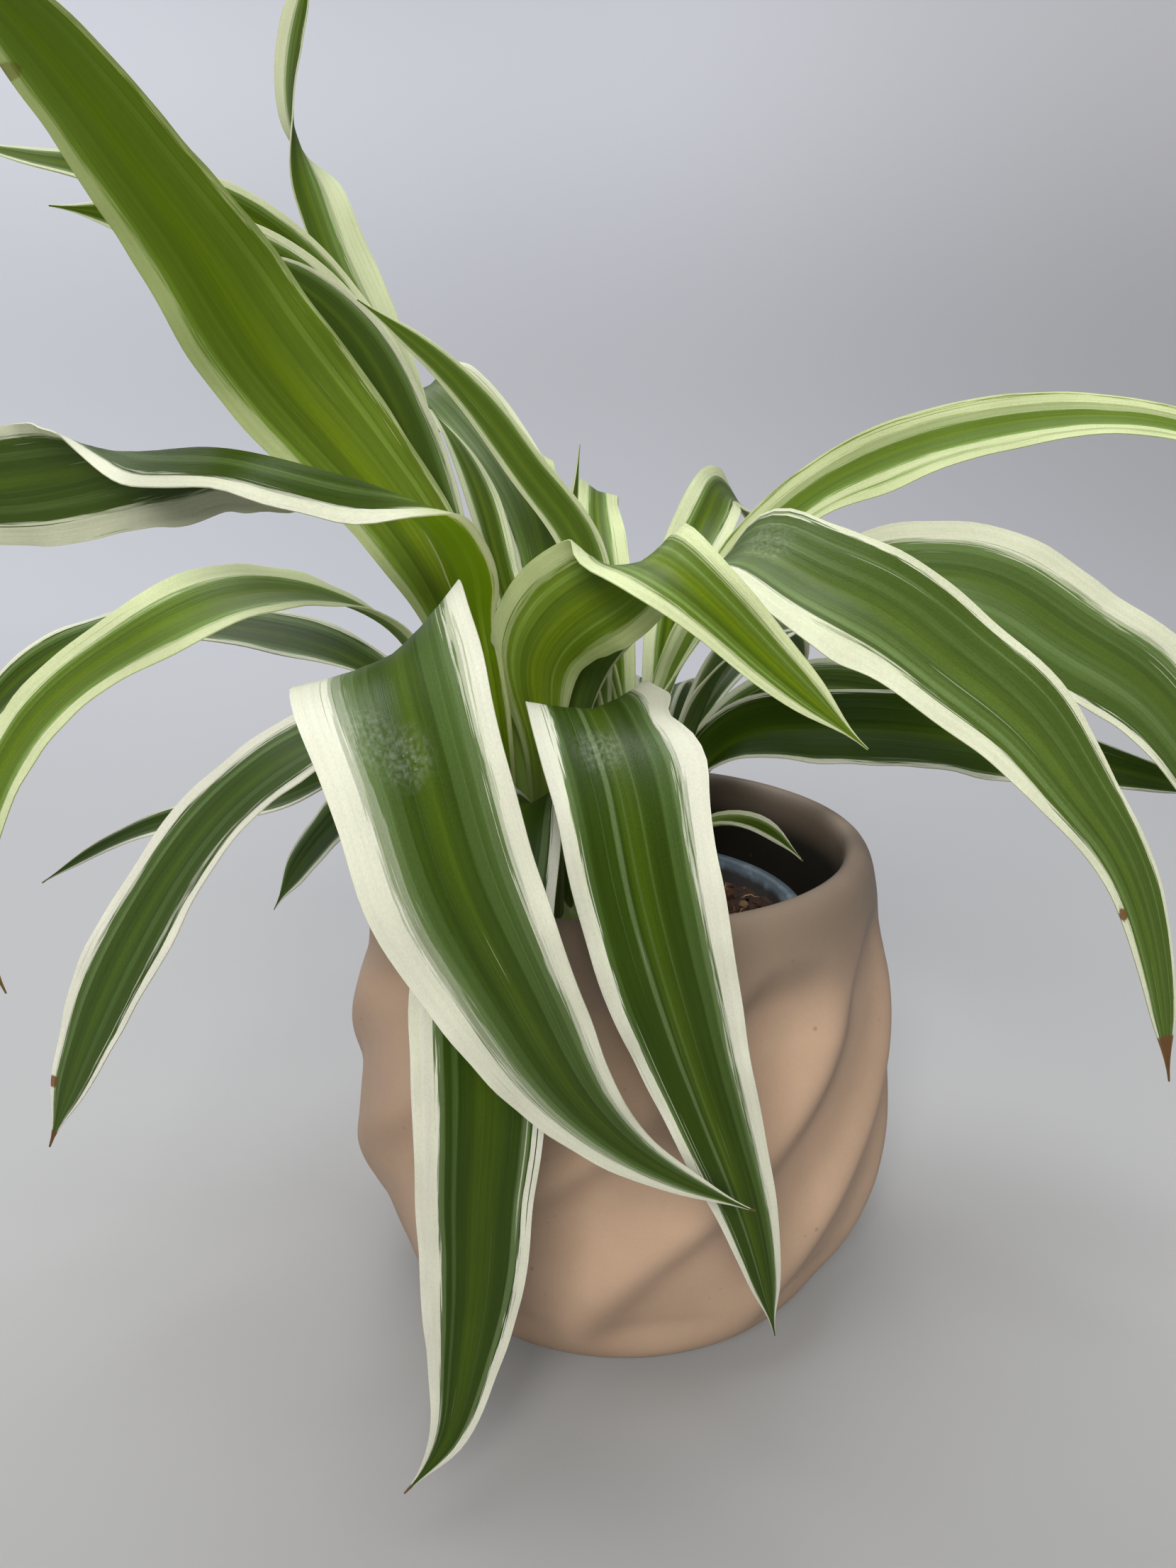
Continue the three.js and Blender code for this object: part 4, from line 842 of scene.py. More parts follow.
# where a margin swells or draws in, seen in the photograph: share of the length, side, how far and over how
# much of the length, both in mm
bulges = {
    "leaf_right_great": [(0.564, 1, 1.3, 7.0)], "leaf_right_high": [(0.576, 1, 1.5, 8.0)],
    "leaf_drop_left": [(0.718, -1, 1.2, 6.0)],
    "leaf_front_right": [(0.400, -1, 0.8, 3.0), (0.438, -1, -1.7, 3.0), (0.480, -1, 1.0, 4.0)],
    "leaf_right_low": [(0.42, 1, 0.8, 5.0), (0.53, 1, -0.6, 5.0), (0.66, 1, 0.8, 6.0)],
    "leaf_front_great": [(0.34, -1, 0.6, 4.0), (0.39, -1, -0.6, 4.0), (0.45, -1, 0.6, 5.0)],
}


def spotsOf(part, spots):
    # 1 in each spot, easing to 0 around it
    inside = np.zeros(len(part["along"]))
    for share, across, size in spots:
        away = np.hypot(part["along"] - share * part["knots"][-1], (part["across"] - across) * part["half"])
        inside = np.maximum(inside, smooth(1.6 - away / size))
    return inside


def litness(part, stretch):
    # the strength inside the stretch, easing to 0 at both its ends
    if not stretch:
        return np.zeros(len(part["along"]))
    strength, begins, full, fades, ends = stretch
    share = part["along"] / part["knots"][-1]
    return strength * smooth((share - begins) / (full - begins)) * smooth((ends - share) / (ends - fades))


def brownness(part, marks):
    # 1 in the dead tip and in each spot
    tip = smooth((part["along"] - part["knots"][-1] + marks.get("tip", 1.0)) / 2.0)
    return np.maximum(tip, spotsOf(part, marks.get("spots", [])))


def makeLeaves():
    order = list(frontLeaves.items()) + list(backLeaves.items())
    for index, (node, leaf) in enumerate(order):
        knots = runningLength(np.array(leaf["route"], float)[:, :3])
        part = bladeSurface(leaf["route"], 1.7 * index, knots[1], knots[-1], bulges.get(node, []))
        low, high = leaf["cream"]
        known = knownStripes.get(node)
        stripes = readStripes(known) if known else grownStripes(low, high, 40 + index)
        finish = leafFinish("stripes of " + node, stripes, leaf["young"], 2.9 * index + 1.0,
                            sheenPaledLeaves.get(node, 0.0), dullLeaves.get(node, leafSkin["gloss"]),
                            node in paintedGlints)
        mesh = meshOf(node + "_fine", part["points"], part["quads"])
        fresh = 1.0 - smooth((part["along"] - knots[1]) / blade["sheathLength"])
        striped = stripePlace(part, leaf["cream"], leaf.get("creamAlong"))
        brown = brownness(part, blemishes.get(node, {}))
        paintedGlint = spotsOf(part, paintedGlints.get(node, []))
        lit = litness(part, litStretches.get(node))
        storeLeafMarks(mesh, part, brown, fresh, striped, paintedGlint, lit)
        piece = addPiece(node + "_fine", mesh, [finish])
        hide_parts(node)


makeLeaves()
print("leaves made:", len(frontLeaves) + len(backLeaves))


# crowns: leaf bases wrapped round a stump, with fleshy roots
crown = {
    "stump": [(58.0, 0.0), (58.0, 0.72), (61.0, 0.78), (70.0, 0.95), (79.0, 1.0), (88.0, 0.8), (97.0, 0.5),
              (100.0, 0.0)],
    "stumpColumns": 48, "rootRing": 0.62, "roots": 5, "rootColumns": 12, "rootSteps": 24, "rootTop": 63.0,
    "rootRadii": [0.3, 2.0, 2.7, 2.3, 0.4],
    "fleshPale": (0.56, 0.58, 0.30), "fleshGreen": (0.30, 0.40, 0.12), "fleshBrown": (0.22, 0.14, 0.07),
}
frontCrown = {"node": "crown_front", "centre": (-19.0, -5.0), "radius": 12.0, "rootLength": 46.0,
              "leaves": frontLeaves}
backCrown = {"node": "crown_back", "centre": (1.0, 8.0), "radius": 9.5, "rootLength": 40.0,
             "leaves": backLeaves}


def closedRings(points, stations, columns, poles):
    # rings of points with a pole past each end: the points, the quads and the triangles
    count = len(points)
    first = poleTriangles(np.arange(columns), count, False)
    last = poleTriangles(np.arange(count - columns, count), count + 1, True)
    return np.concatenate([points, poles]), ringQuads(stations, columns), np.concatenate([first, last])


def lathe(profile, columns, centre=(0.0, 0.0), shape=None):
    # the profile's (height, radius) points turned about the axis at the centre; its first and last points
    # lie on the axis. shape(angle, height, radius) may give each point another radius and height
    angle = np.linspace(0.0, 2.0 * math.pi, columns, endpoint=False)
    height = np.broadcast_to(profile[1:-1, :1], (len(profile) - 2, columns))
    radius = np.broadcast_to(profile[1:-1, 1:], height.shape)
    if shape:
        radius, height = shape(angle[None, :], height, radius)
    points = np.stack([centre[0] + radius * np.cos(angle), centre[1] + radius * np.sin(angle), height], -1)
    poles = [[centre[0], centre[1], profile[0, 0]], [centre[0], centre[1], profile[-1, 0]]]
    return closedRings(points.reshape(-1, 3), len(profile) - 2, columns, poles)


def tube(path, radii, columns, turn=0.0):
    # a round tube along a path, closed by a point at each end
    along = unit(np.gradient(path, axis=0))
    side = unit(np.cross(along, [0.31, 0.94, 0.12]))
    other = np.cross(along, side)
    angle = turn + np.linspace(0.0, 2.0 * math.pi, columns, endpoint=False)
    ring = side[:, None] * np.cos(angle)[:, None] + other[:, None] * np.sin(angle)[:, None]
    points = (path[:, None] + ring * radii[:, None, None]).reshape(-1, 3)
    return closedRings(points, len(path), columns, [path[0], path[-1]])


def joinParts(parts):
    # several (points, quads, triangles) as one
    points, quads, triangles = [], [], []
    count = 0
    for partPoints, partQuads, partTriangles in parts:
        points.append(partPoints)
        quads.append(partQuads + count)
        triangles.append(partTriangles + count)
        count += len(partPoints)
    return np.concatenate(points), np.concatenate(quads), np.concatenate(triangles)


def fleshFinish():
    make = Finish("crown flesh")
    place = make.place()
    x, y, z = make.parts(place)
    fibre = make.noise(make.joined(x * 900.0, y * 900.0, z * 90.0), detail=3.0)
    buried = 1.0 - make.rise(z, 0.074, 0.084)
    tone = make.mixed(make.rise(fibre, 0.35, 0.7), crown["fleshGreen"], crown["fleshPale"])
    tone = make.mixed(make.rise(z, 0.07, 0.098) * 0.5, tone, crown["fleshGreen"])
    tone = make.mixed(buried * fibre, tone, crown["fleshBrown"])
    return make.done(make.skin(Base_Color=tone, Roughness=0.42 + fibre * 0.2,
                               Normal=make.bumped(fibre * 0.25, 0.6)))


def makeCrown(plan, flesh, sheath):
    centre = np.array(plan["centre"])
    profile = np.array(crown["stump"]) * [1.0, plan["radius"]]
    solids = [lathe(np.concatenate([profile[:1], roundedProfile(profile[1:-1], 22), profile[-1:]]),
                    crown["stumpColumns"], centre)]
    top = crown["rootTop"]
    for i in range(crown["roots"]):
        angle = 2.0 * math.pi * (i + 0.5) / crown["roots"]
        out = crown["rootRing"] * plan["radius"] * np.array([math.cos(angle), math.sin(angle)])
        end = crown["stump"][0][0] - plan["rootLength"] * (0.7 + 0.06 * i)
        z = np.linspace(top, end - 1.0, crown["rootSteps"])
        sway = 0.25 * np.stack([np.sin(z / 5.0 + i), np.cos(z / 6.3 + 2.0 * i)], -1)
        path = np.concatenate([centre + out + sway, z[:, None]], axis=1)
        depths = [0.0, 1.0, 13.0, top - end - 8.0, top - end + 1.0]
        radii = np.interp(top - z, depths, crown["rootRadii"])
        solids.append(tube(path, radii, crown["rootColumns"]))
    points, quads, triangles = joinParts(solids)
    nothing = np.zeros(len(points))
    base = {"across": nothing, "along": nothing, "upper": nothing, "half": nothing}
    parts = [(points, quads, triangles)]
    shares = [base]
    for leaf in plan["leaves"].values():
        knots = runningLength(np.array(leaf["route"], float)[:, :3])
        part = bladeSurface(leaf["route"], 0.0, 0.0, knots[1])
        parts.append((part["points"], part["quads"], np.zeros((0, 3), int)))
        shares.append(part)
    allPoints, allQuads, allTriangles = joinParts(parts)
    mesh = meshOf(plan["node"] + "_fine", allPoints, allQuads, allTriangles)
    merged = {key: np.concatenate([part[key] for part in shares]) for key in base}
    none = np.zeros(len(allPoints))
    storeLeafMarks(mesh, merged, none, none + 1.0, merged["across"] * 0.5 + 0.5, none, none)
    quadFinish = np.arange(len(allQuads)) >= len(quads)
    slots = np.concatenate([quadFinish, np.zeros(len(allTriangles), bool)]).astype(np.int32)
    mesh.polygons.foreach_set("material_index", slots)
    piece = addPiece(plan["node"] + "_fine", mesh, [flesh, sheath])
    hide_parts(plan["node"])


sheathStripes = readStripes("cream 0.14 pale 0.2 sage 0.3 middle 0.42 bright 0.58 middle 0.7 sage 0.8 pale "
                            "0.86 cream")
fleshSkin = fleshFinish()
sheathSkin = leafFinish("leaf sheath", sheathStripes, 0.5, 77.0)
makeCrown(frontCrown, fleshSkin, sheathSkin)
makeCrown(backCrown, fleshSkin, sheathSkin)
print("crowns made")


# the fluted clay pot
clayPot = {
    "columns": 384, "rows": 200, "flutes": 10, "scoopDepth": 3.7, "scoopTop": 91.0, "scoopFoot": 3.0,
    "archDrop": 7.0, "swing": 62.0, "swingTop": 92.0, "swingFoot": 10.0, "firstRidge": -37.0,
    "outside": [(0, 38), (0.8, 41.5), (3, 45.5), (8, 50), (14, 53.6), (21, 56.5), (29, 58.6), (38, 59.6),
                (47, 59.7), (56, 59.3), (64, 58.6), (71, 57.5), (76, 56.2), (81, 55.1), (86, 54.3),
                (91, 53.4), (95.5, 52.3), (98.3, 50.6), (99, 48.8)],
    "inside": [(98.5, 47.3), (96.5, 46.4), (92, 46.2), (11, 45.2), (7.5, 43), (6, 39)],
    "archEase": 11.0, "footEase": 13.0, "handUnevenness": 0.12,
    "dent": (4.74, 37.0, 1.5, 0.20, 11.0),  # angle, height and depth of a shallow dent, and its half sides
    "body": (0.34, 0.235, 0.162), "bodyDark": (0.29, 0.197, 0.135), "bodyPale": (0.385, 0.27, 0.19),
    # the rim tone is partly the lip's greyer clay and partly painted shade, and the shade tone is painted
    # shade inside the pot
    "rim": (0.13, 0.102, 0.076), "fleck": (0.16, 0.10, 0.065), "shade": (0.012, 0.010, 0.007),
    # in metres: the heights between which the lip darkens, partly its greyer clay and partly painted shade
    # from the leaves, the radii between which the inside begins, the heights between which it begins at the
    # foot, and those between which its painted shade gives way to the lip
    "lipShadeHeights": (0.070, 0.0965), "insideRadii": (0.0470, 0.0485), "insideHeights": (0.010, 0.014),
    "shadeHeights": (0.088, 0.0975),
}


def flutedShape(angle, height, radius):
    # scoops lean round the pot as they rise, end in arches under the collar and die out at the foot: the
    # wall is drawn in by depth times a cosine of the angle, the lean and a little unevenness, and less on the
    # left. Only the outside is scooped: the first rows of the profile
    look = clayPot
    lean = look["swing"] * smooth((look["swingTop"] - height) / (look["swingTop"] - look["swingFoot"]))
    turn = look["flutes"] * (angle + np.radians(lean - look["firstRidge"]))
    uneven = 0.85 * (1.0 - np.cos(angle + 0.7)) + 0.2 * np.sin(3.0 * angle + height / 23.0)
    scoop = 0.5 - 0.5 * np.cos(turn + uneven + 0.45 * np.sin(turn))
    arch = smooth((look["scoopTop"] - look["archDrop"] * (1.0 - scoop) - height) / look["archEase"])
    foot = smooth((height - look["scoopFoot"]) / look["footEase"])
    strength = 1.0 + 0.14 * np.sin(2.0 * angle - 1.1) - 0.22 * smooth(-4.0 * np.cos(angle) - 2.9)
    outer = np.arange(height.shape[0])[:, None] < look["outsideRows"]
    hand = look["handUnevenness"] * np.sin(3.0 * angle + height / 9.0)
    hand = hand * np.sin(2.0 * angle - height / 15.0 + 1.0)
    dentAngle, dentHeight, dentDepth, dentWide, dentTall = look["dent"]
    dent = dentDepth * bell(angle - dentAngle, dentWide) * bell(height - dentHeight, dentTall)
    drawn = look["scoopDepth"] * strength * scoop * arch * foot + dent
    drawn = drawn + hand * smooth(height / 12.0) * smooth((look["outside"][-1][0] - height) / 8.0)
    return radius - np.where(outer, drawn, 0.0), height + 0.0 * angle


def clayFinish():
    # matt clay: clouds of lighter and darker body, small dark flecks, a fine grain, a greyer lip that also
    # holds painted shade of the leaves above, and painted shade inside
    look = clayPot
    make = Finish("matt clay")
    place = make.place()
    x, y, z = make.parts(place)
    cloud = make.noise(place, 28.0, 4.0, 0.55)
    band = make.noise(make.joined(x * 9.0, y * 9.0, z * 160.0), 1.0, 2.0)
    grain = make.noise(place, 1900.0, 3.0, 0.65)
    fine = make.noise(place, 420.0, 4.0, 0.6)
    tone = make.mixed(make.rise(cloud, 0.32, 0.68), look["bodyDark"], look["bodyPale"])
    tone = make.mixed(0.45 + 0.2 * band, tone, look["body"])
    radius = make.node("ShaderNodeVectorMath", {"operation": "LENGTH"}, {0: make.joined(x, y, 0.0)}, "Value")
    # the lip and collar darken to the rim tone: partly the clay's greyer lip, partly painted shade from the
    # leaves above
    lip = make.rise(z, *look["lipShadeHeights"])
    tone = make.mixed(lip * 0.8, tone, look["rim"])
    inner = (1.0 - make.rise(radius, *look["insideRadii"])) * make.rise(z, *look["insideHeights"])
    # painted shade inside: the inner wall takes the rim tone, then near black below the lip
    tone = make.mixed(inner * 0.6, tone, look["rim"])
    tone = make.mixed(inner * (1.0 - make.rise(z, *look["shadeHeights"])), tone, look["shade"])
    spots = 1.0 - make.rise(make.cells(place, 260.0), 0.06, 0.16)
    chosen = make.rise(make.noise(place, 130.0, 1.0), 0.56, 0.62)
    tone = make.mixed(spots * chosen * 0.5, tone, look["fleck"])
    tone = make.scaled(tone, 0.93 + grain * 0.14)
    height = grain * 0.05 + fine * 0.07 + band * 0.05 - spots * chosen * 0.04
    skin = make.skin(Base_Color=tone, Roughness=0.52 + fine * 0.16, Normal=make.bumped(height, 0.5))
    return make.done(skin)


def makeClayPot():
    look = clayPot
    count = len(look["outside"])
    whole = roundedProfile(look["outside"] + look["inside"], look["rows"])
    lengths = runningLength(np.array(look["outside"] + look["inside"], float))
    look["outsideRows"] = int(round((look["rows"] - 1) * lengths[count - 1] / lengths[-1])) + 1
    profile = np.concatenate([[(0.0, 0.0)], whole, [(6.0, 0.0)]])
    points, quads, triangles = lathe(profile, look["columns"], shape=flutedShape)
    piece = addPiece("clay_pot_fine", meshOf("clay_pot_fine", points, quads, triangles), [clayFinish()],
                     60.0)
    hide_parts("ceramic_pot")


makeClayPot()
print("clay pot made")


# the thin plastic pot inside it
thinPot = {
    "centre": (-2.0, 0.0), "foot": 6.3, "wall": 1.0, "footRadius": 31.0, "topRadius": 40.0, "top": 82.0,
    "lip": 2.0, "lipHeight": 3.0, "columns": 160,
    "holeRadius": 3.0, "holeRing": 19.0, "holes": 6, "holeColumns": 24,
    "colour": (0.075, 0.105, 0.13), "worn": (0.15, 0.20, 0.24), "glow": (0.12, 0.16, 0.20),
    "soiled": (0.018, 0.013, 0.010), "dust": (0.12, 0.08, 0.055),
    "soilLine": (0.0800, 0.0820),  # metres: soil clings below the first height and no longer above the second
}


def plasticFinish():
    make = Finish("thin plastic")
    place = make.place()
    x, y, z = make.parts(place)
    scuff = make.noise(place, 240.0, 5.0, 0.7)
    rings = make.noise(make.joined(x * 6.0, y * 6.0, z * 1400.0), 1.0, 2.0)
    dust = make.rise(make.noise(place, 90.0, 4.0, 0.7), 0.5, 0.72)
    tone = make.mixed(make.rise(scuff, 0.45, 0.7), thinPot["colour"], thinPot["worn"])
    tone = make.mixed(dust * 0.35, tone, thinPot["dust"])
    clinging = 1.0 - make.rise(z + scuff * 0.002, *thinPot["soilLine"])
    tone = make.mixed(clinging * 0.93, tone, thinPot["soiled"])
    height = scuff * 0.03 + rings * 0.04
    skin = make.skin(Base_Color=tone, Roughness=0.34 + scuff * 0.22 + dust * 0.2,
                     Normal=make.bumped(height, 0.5))
    return make.done(make.blend(0.06, skin, make.veil(thinPot["glow"])))


def makeThinPot():
    look = thinPot
    foot, wall, top = look["foot"], look["wall"], look["top"]
    low, high, lip = look["footRadius"], look["topRadius"], look["lip"]
    under = top - look["lipHeight"]
    # up the outside, round the turned-out lip, and down the inside
    outline = [(foot, low - 1.4), (foot + 0.3, low - 0.5), (foot + 1.2, low), (under - 0.5, high - 0.05),
               (under, high + 0.35), (under + 0.1, high + lip - 0.5), (under + 0.6, high + lip),
               (top - 0.7, high + lip), (top, high + lip - 0.7), (top, high - wall + 0.5),
               (top - 0.5, high - wall), (foot + 2.2, low - wall), (foot + wall, low - wall - 1.2)]
    profile = np.concatenate([[(foot, 0.0)], np.array(outline), [(foot + wall, 0.0)]])
    points, quads, triangles = lathe(profile, look["columns"], look["centre"])
    mesh = meshOf("thin_pot_fine", points, quads, triangles)
    bit = np.array([(foot - 2.0, 0.0), (foot - 2.0, look["holeRadius"]), (foot + 3.0, look["holeRadius"]),
                    (foot + 3.0, 0.0)])
    drill = []
    for i in range(look["holes"]):
        angle = 2.0 * math.pi * i / look["holes"]
        out = look["holeRing"] * np.array([math.cos(angle), math.sin(angle)])
        drill.append(lathe(bit, look["holeColumns"], look["centre"] + out))
    cutter = bpy.data.objects.new("drill", meshOf("drill", *joinParts(drill)))
    body = bpy.data.objects.new("blank", mesh)
    scene.collection.objects.link(cutter)
    scene.collection.objects.link(body)
    cut = body.modifiers.new("drain holes", "BOOLEAN")
    cut.operation = "DIFFERENCE"
    cut.object = cutter
    drilled = bpy.data.meshes.new_from_object(body.evaluated_get(bpy.context.evaluated_depsgraph_get()))
    bpy.data.objects.remove(body)
    bpy.data.objects.remove(cutter)
    piece = addPiece("thin_pot_fine", drilled, [plasticFinish()], 50.0)
    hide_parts("nursery_pot")


makeThinPot()
print("plastic pot made")


# soil: a lumpy bed, crumbs and chips lying on it, and coir fibres
soil = {
    "bottom": 7.6, "top": 77.5, "lump": 1.3, "columns": 180, "rings": 46, "centre": (-2.0, 0.0),
    "wallGap": 0.3, "crumbs": 1100, "fibres": 170, "seed": 11,
    "black": (0.006, 0.005, 0.004), "brown": (0.024, 0.014, 0.009), "red": (0.055, 0.024, 0.013),
    "straw": (0.17, 0.105, 0.055), "bedTone": 0.25,
    "coir": [(0.0, (0.10, 0.05, 0.025)), (0.6, (0.24, 0.13, 0.06)), (1.0, (0.42, 0.29, 0.15))],
    "heap": (26.0, 3.0, 13.0, 2.2),  # a low heap: its place, how wide and how high
    "crumbLeast": 0.35, "crumbMore": 1.1, "chipShare": 0.16, "fibreReach": 33.0, "fibreLimit": 35.5,
    "fibreLengths": (3.0, 9.0), "fibreRadii": (0.07, 0.16),
}


def soilHeight(x, y):
    # long lumps as on the solid, with two finer sets of lumps over them and a low heap on the right
    bumps = np.sin(x / 3.1 + 1.0) * np.cos(y / 3.7) + 0.6 * np.sin(x / 1.9 - y / 2.3)
    radius = np.hypot(x, y)
    calm = between(1.0, 0.4, smooth((radius - 33.0) / 4.0))
    place = np.stack([x, y], -1)
    finer = 0.35 * waves(place, (2.2, 4.5), 5) + 0.16 * waves(place, (0.9, 1.7), 6, 9)
    heapX, heapY, wide, high = soil["heap"]
    heap = high * bell(np.hypot(x - heapX, y - heapY), wide)
    return soil["top"] + soil["lump"] * bumps * calm + finer * calm + heap * calm


def soilFinish():
    make = Finish("peat")
    place = make.place()
    tint = make.parts(make.attribute("crumbTone"))[0]
    clod = make.noise(place, 300.0, 5.0, 0.7)
    grain = make.noise(place, 1500.0, 4.0, 0.7)
    mix = clod * 0.8 + tint * 0.85 - 0.15
    tone = make.ramp(mix, [(0.18, soil["black"]), (0.42, soil["brown"]), (0.66, soil["red"]),
                           (0.97, soil["straw"])])
    tone = make.scaled(tone, 0.6 + grain * 0.8)
    height = clod * 0.6 + grain * 0.25
    return make.done(make.skin(Base_Color=tone, Roughness=0.78 + grain * 0.2,
                               Normal=make.bumped(height, 0.9)))


def coirFinish():
    make = Finish("coir")
    tint = make.parts(make.attribute("crumbTone"))[0]
    grain = make.noise(make.place(), 1300.0, 3.0)
    tone = make.ramp(tint, soil["coir"])
    tone = make.scaled(tone, 0.7 + grain * 0.6)
    return make.done(make.skin(Base_Color=tone, Roughness=0.6 + grain * 0.2,
                               Normal=make.bumped(grain * 0.05, 0.5)))


def nurseryFill(height):
    share = (height - thinPot["foot"] - 2.0) / (thinPot["top"] - thinPot["foot"] - 2.0)
    return between(thinPot["footRadius"], thinPot["topRadius"], share) - thinPot["wall"] - soil["wallGap"]


def makeSoilBed(finish):
    rim = nurseryFill(soil["top"])
    side = [(soil["bottom"], 0.0), (soil["bottom"], nurseryFill(soil["bottom"]) - 1.2),
            (soil["bottom"] + 2.0, nurseryFill(soil["bottom"] + 2.0)), (45.0, nurseryFill(45.0)),
            (soil["top"] - 3.0, nurseryFill(soil["top"] - 3.0))]
    radii = rim * (1.0 - np.linspace(0.0, 0.985, soil["rings"]) ** 1.15)
    surface = np.stack([np.full(soil["rings"], soil["top"]), radii], -1)
    profile = np.concatenate([side, surface, [(soil["top"], 0.0)]])
    first = len(side) - 1

    def lumpy(angle, height, radius):
        onTop = np.arange(height.shape[0])[:, None] >= first
        x = radius * np.cos(angle)
        y = radius * np.sin(angle)
        return radius, np.where(onTop, soilHeight(x, y), height)

    points, quads, triangles = lathe(profile, soil["columns"], soil["centre"], lumpy)
    mesh = meshOf("soil_fine", points, quads, triangles)
    store(mesh, "crumbTone", np.full((len(points), 3), soil["bedTone"]))
    piece = addPiece("soil_fine", mesh, [finish], 80.0)
    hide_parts("soil")


def turnsOf(draw, count):
    # evenly drawn turns in space, as matrices, from unit quaternions
    w, x, y, z = unit(draw.normal(size=(count, 4))).T
    return np.stack([
        1 - 2 * (y * y + z * z), 2 * (x * y - z * w), 2 * (x * z + y * w),
        2 * (x * y + z * w), 1 - 2 * (x * x + z * z), 2 * (y * z - x * w),
        2 * (x * z - y * w), 2 * (y * z + x * w), 1 - 2 * (x * x + y * y)], -1).reshape(count, 3, 3)


def makeCrumbs(finish):
    # copies of a twenty-faced crumb, each stretched, dented and turned by seeded draws, half sunk in the bed
    draw = np.random.default_rng(soil["seed"])
    golden = (1.0 + math.sqrt(5.0)) / 2.0
    corners = unit(np.array([
        (-1, golden, 0), (1, golden, 0), (-1, -golden, 0), (1, -golden, 0), (0, -1, golden), (0, 1, golden),
        (0, -1, -golden), (0, 1, -golden), (golden, 0, -1), (golden, 0, 1), (-golden, 0, -1),
        (-golden, 0, 1)], float))
    faces = np.array([
        (0, 11, 5), (0, 5, 1), (0, 1, 7), (0, 7, 10), (0, 10, 11), (1, 5, 9), (5, 11, 4), (11, 10, 2),
        (10, 7, 6), (7, 1, 8), (3, 9, 4), (3, 4, 2), (3, 2, 6), (3, 6, 8), (3, 8, 9), (4, 9, 5), (2, 4, 11),
        (6, 2, 10), (8, 6, 7), (9, 8, 1)])
    count = soil["crumbs"]
    size = soil["crumbLeast"] + soil["crumbMore"] * draw.random(count) ** 3
    chip = draw.random(count) < soil["chipShare"]
    stretch = np.where(chip[:, None], draw.uniform([1.5, 0.7, 0.3], [2.8, 1.1, 0.5], (count, 3)),
                       draw.uniform(0.7, 1.2, (count, 3)))
    shapes = corners * draw.uniform(0.78, 1.15, (count, 12, 1)) * (size[:, None] * stretch)[:, None, :]
    turned = np.einsum("nij,nkj->nki", turnsOf(draw, count), shapes)
    reach = np.sqrt(draw.random(count)) * (nurseryFill(soil["top"]) - 2.2)
    angle = draw.uniform(0.0, 2.0 * math.pi, count)
    x, y = reach * np.cos(angle), reach * np.sin(angle)
    z = soilHeight(x, y) + 0.35 * size
    places = np.stack([x + soil["centre"][0], y + soil["centre"][1], z], -1)
    points = (turned + places[:, None]).reshape(-1, 3)
    triangles = (faces[None] + 12 * np.arange(count)[:, None, None]).reshape(-1, 3)
    mesh = meshOf("soil_crumbs", points, np.zeros((0, 4), int), triangles)
    tint = np.clip(draw.normal(0.32, 0.17, count) + 0.22 * chip, 0.0, 1.0)
    store(mesh, "crumbTone", np.repeat(np.repeat(tint, 12)[:, None], 3, axis=1))
    addPiece("soil_crumbs", mesh, [finish], 35.0)


def makeFibres(finish):
    # thin bent fibres that lie on the bed and lift at one end
    draw = np.random.default_rng(soil["seed"] + 1)
    parts, tints = [], []
    for _ in range(soil["fibres"]):
        reach = math.sqrt(draw.random()) * soil["fibreReach"]
        angle = draw.uniform(0.0, 2.0 * math.pi)
        heading = draw.uniform(0.0, 2.0 * math.pi)
        length = draw.uniform(*soil["fibreLengths"])
        t = np.linspace(-0.5, 0.5, 9)
        bend = draw.uniform(-1.6, 1.6)
        x = reach * math.cos(angle) + length * t * np.cos(heading + bend * t)
        y = reach * math.sin(angle) + length * t * np.sin(heading + bend * t)
        inside = np.minimum(1.0, soil["fibreLimit"] / np.maximum(np.hypot(x, y), 1e-6))
        x, y = x * inside, y * inside
        z = soilHeight(x, y) + 0.35 + draw.uniform(0.0, 1.6) * np.abs(t + draw.choice([-0.5, 0.5])) ** 2
        path = np.stack([x + soil["centre"][0], y + soil["centre"][1], z], -1)
        radius = draw.uniform(*soil["fibreRadii"])
        parts.append(tube(path, radius * (1.0 - 0.7 * np.abs(2.0 * t) ** 3), 5))
        tints.append(np.full(len(parts[-1][0]), draw.random()))
    mesh = meshOf("soil_fibres", *joinParts(parts))
    store(mesh, "crumbTone", np.repeat(np.concatenate(tints)[:, None], 3, axis=1))
    addPiece("soil_fibres", mesh, [finish], 80.0)


peat = soilFinish()
makeSoilBed(peat)
makeCrumbs(peat)
makeFibres(coirFinish())
print("soil made")


# studio: a floor that sweeps up into a wall all round, soft lamps and a pale sky
studio = {
    "columns": 96, "floorRadius": 0.9, "bend": 1.1, "bendSteps": 40, "top": 2.0,
    "floor": (0.285, 0.285, 0.285), "wall": (0.66, 0.67, 0.72), "wallPaintedLit": (0.80, 0.82, 0.88),
    # the wall's bright and dim tones and its glow are painted light; the room tone is painted shade
    "wallPaintedDim": (0.52, 0.52, 0.54), "wallPaintedGlow": 0.40, "room": (0.20, 0.195, 0.19),
    "sky": (0.93, 0.95, 1.0), "skyStrength": 0.42,
}


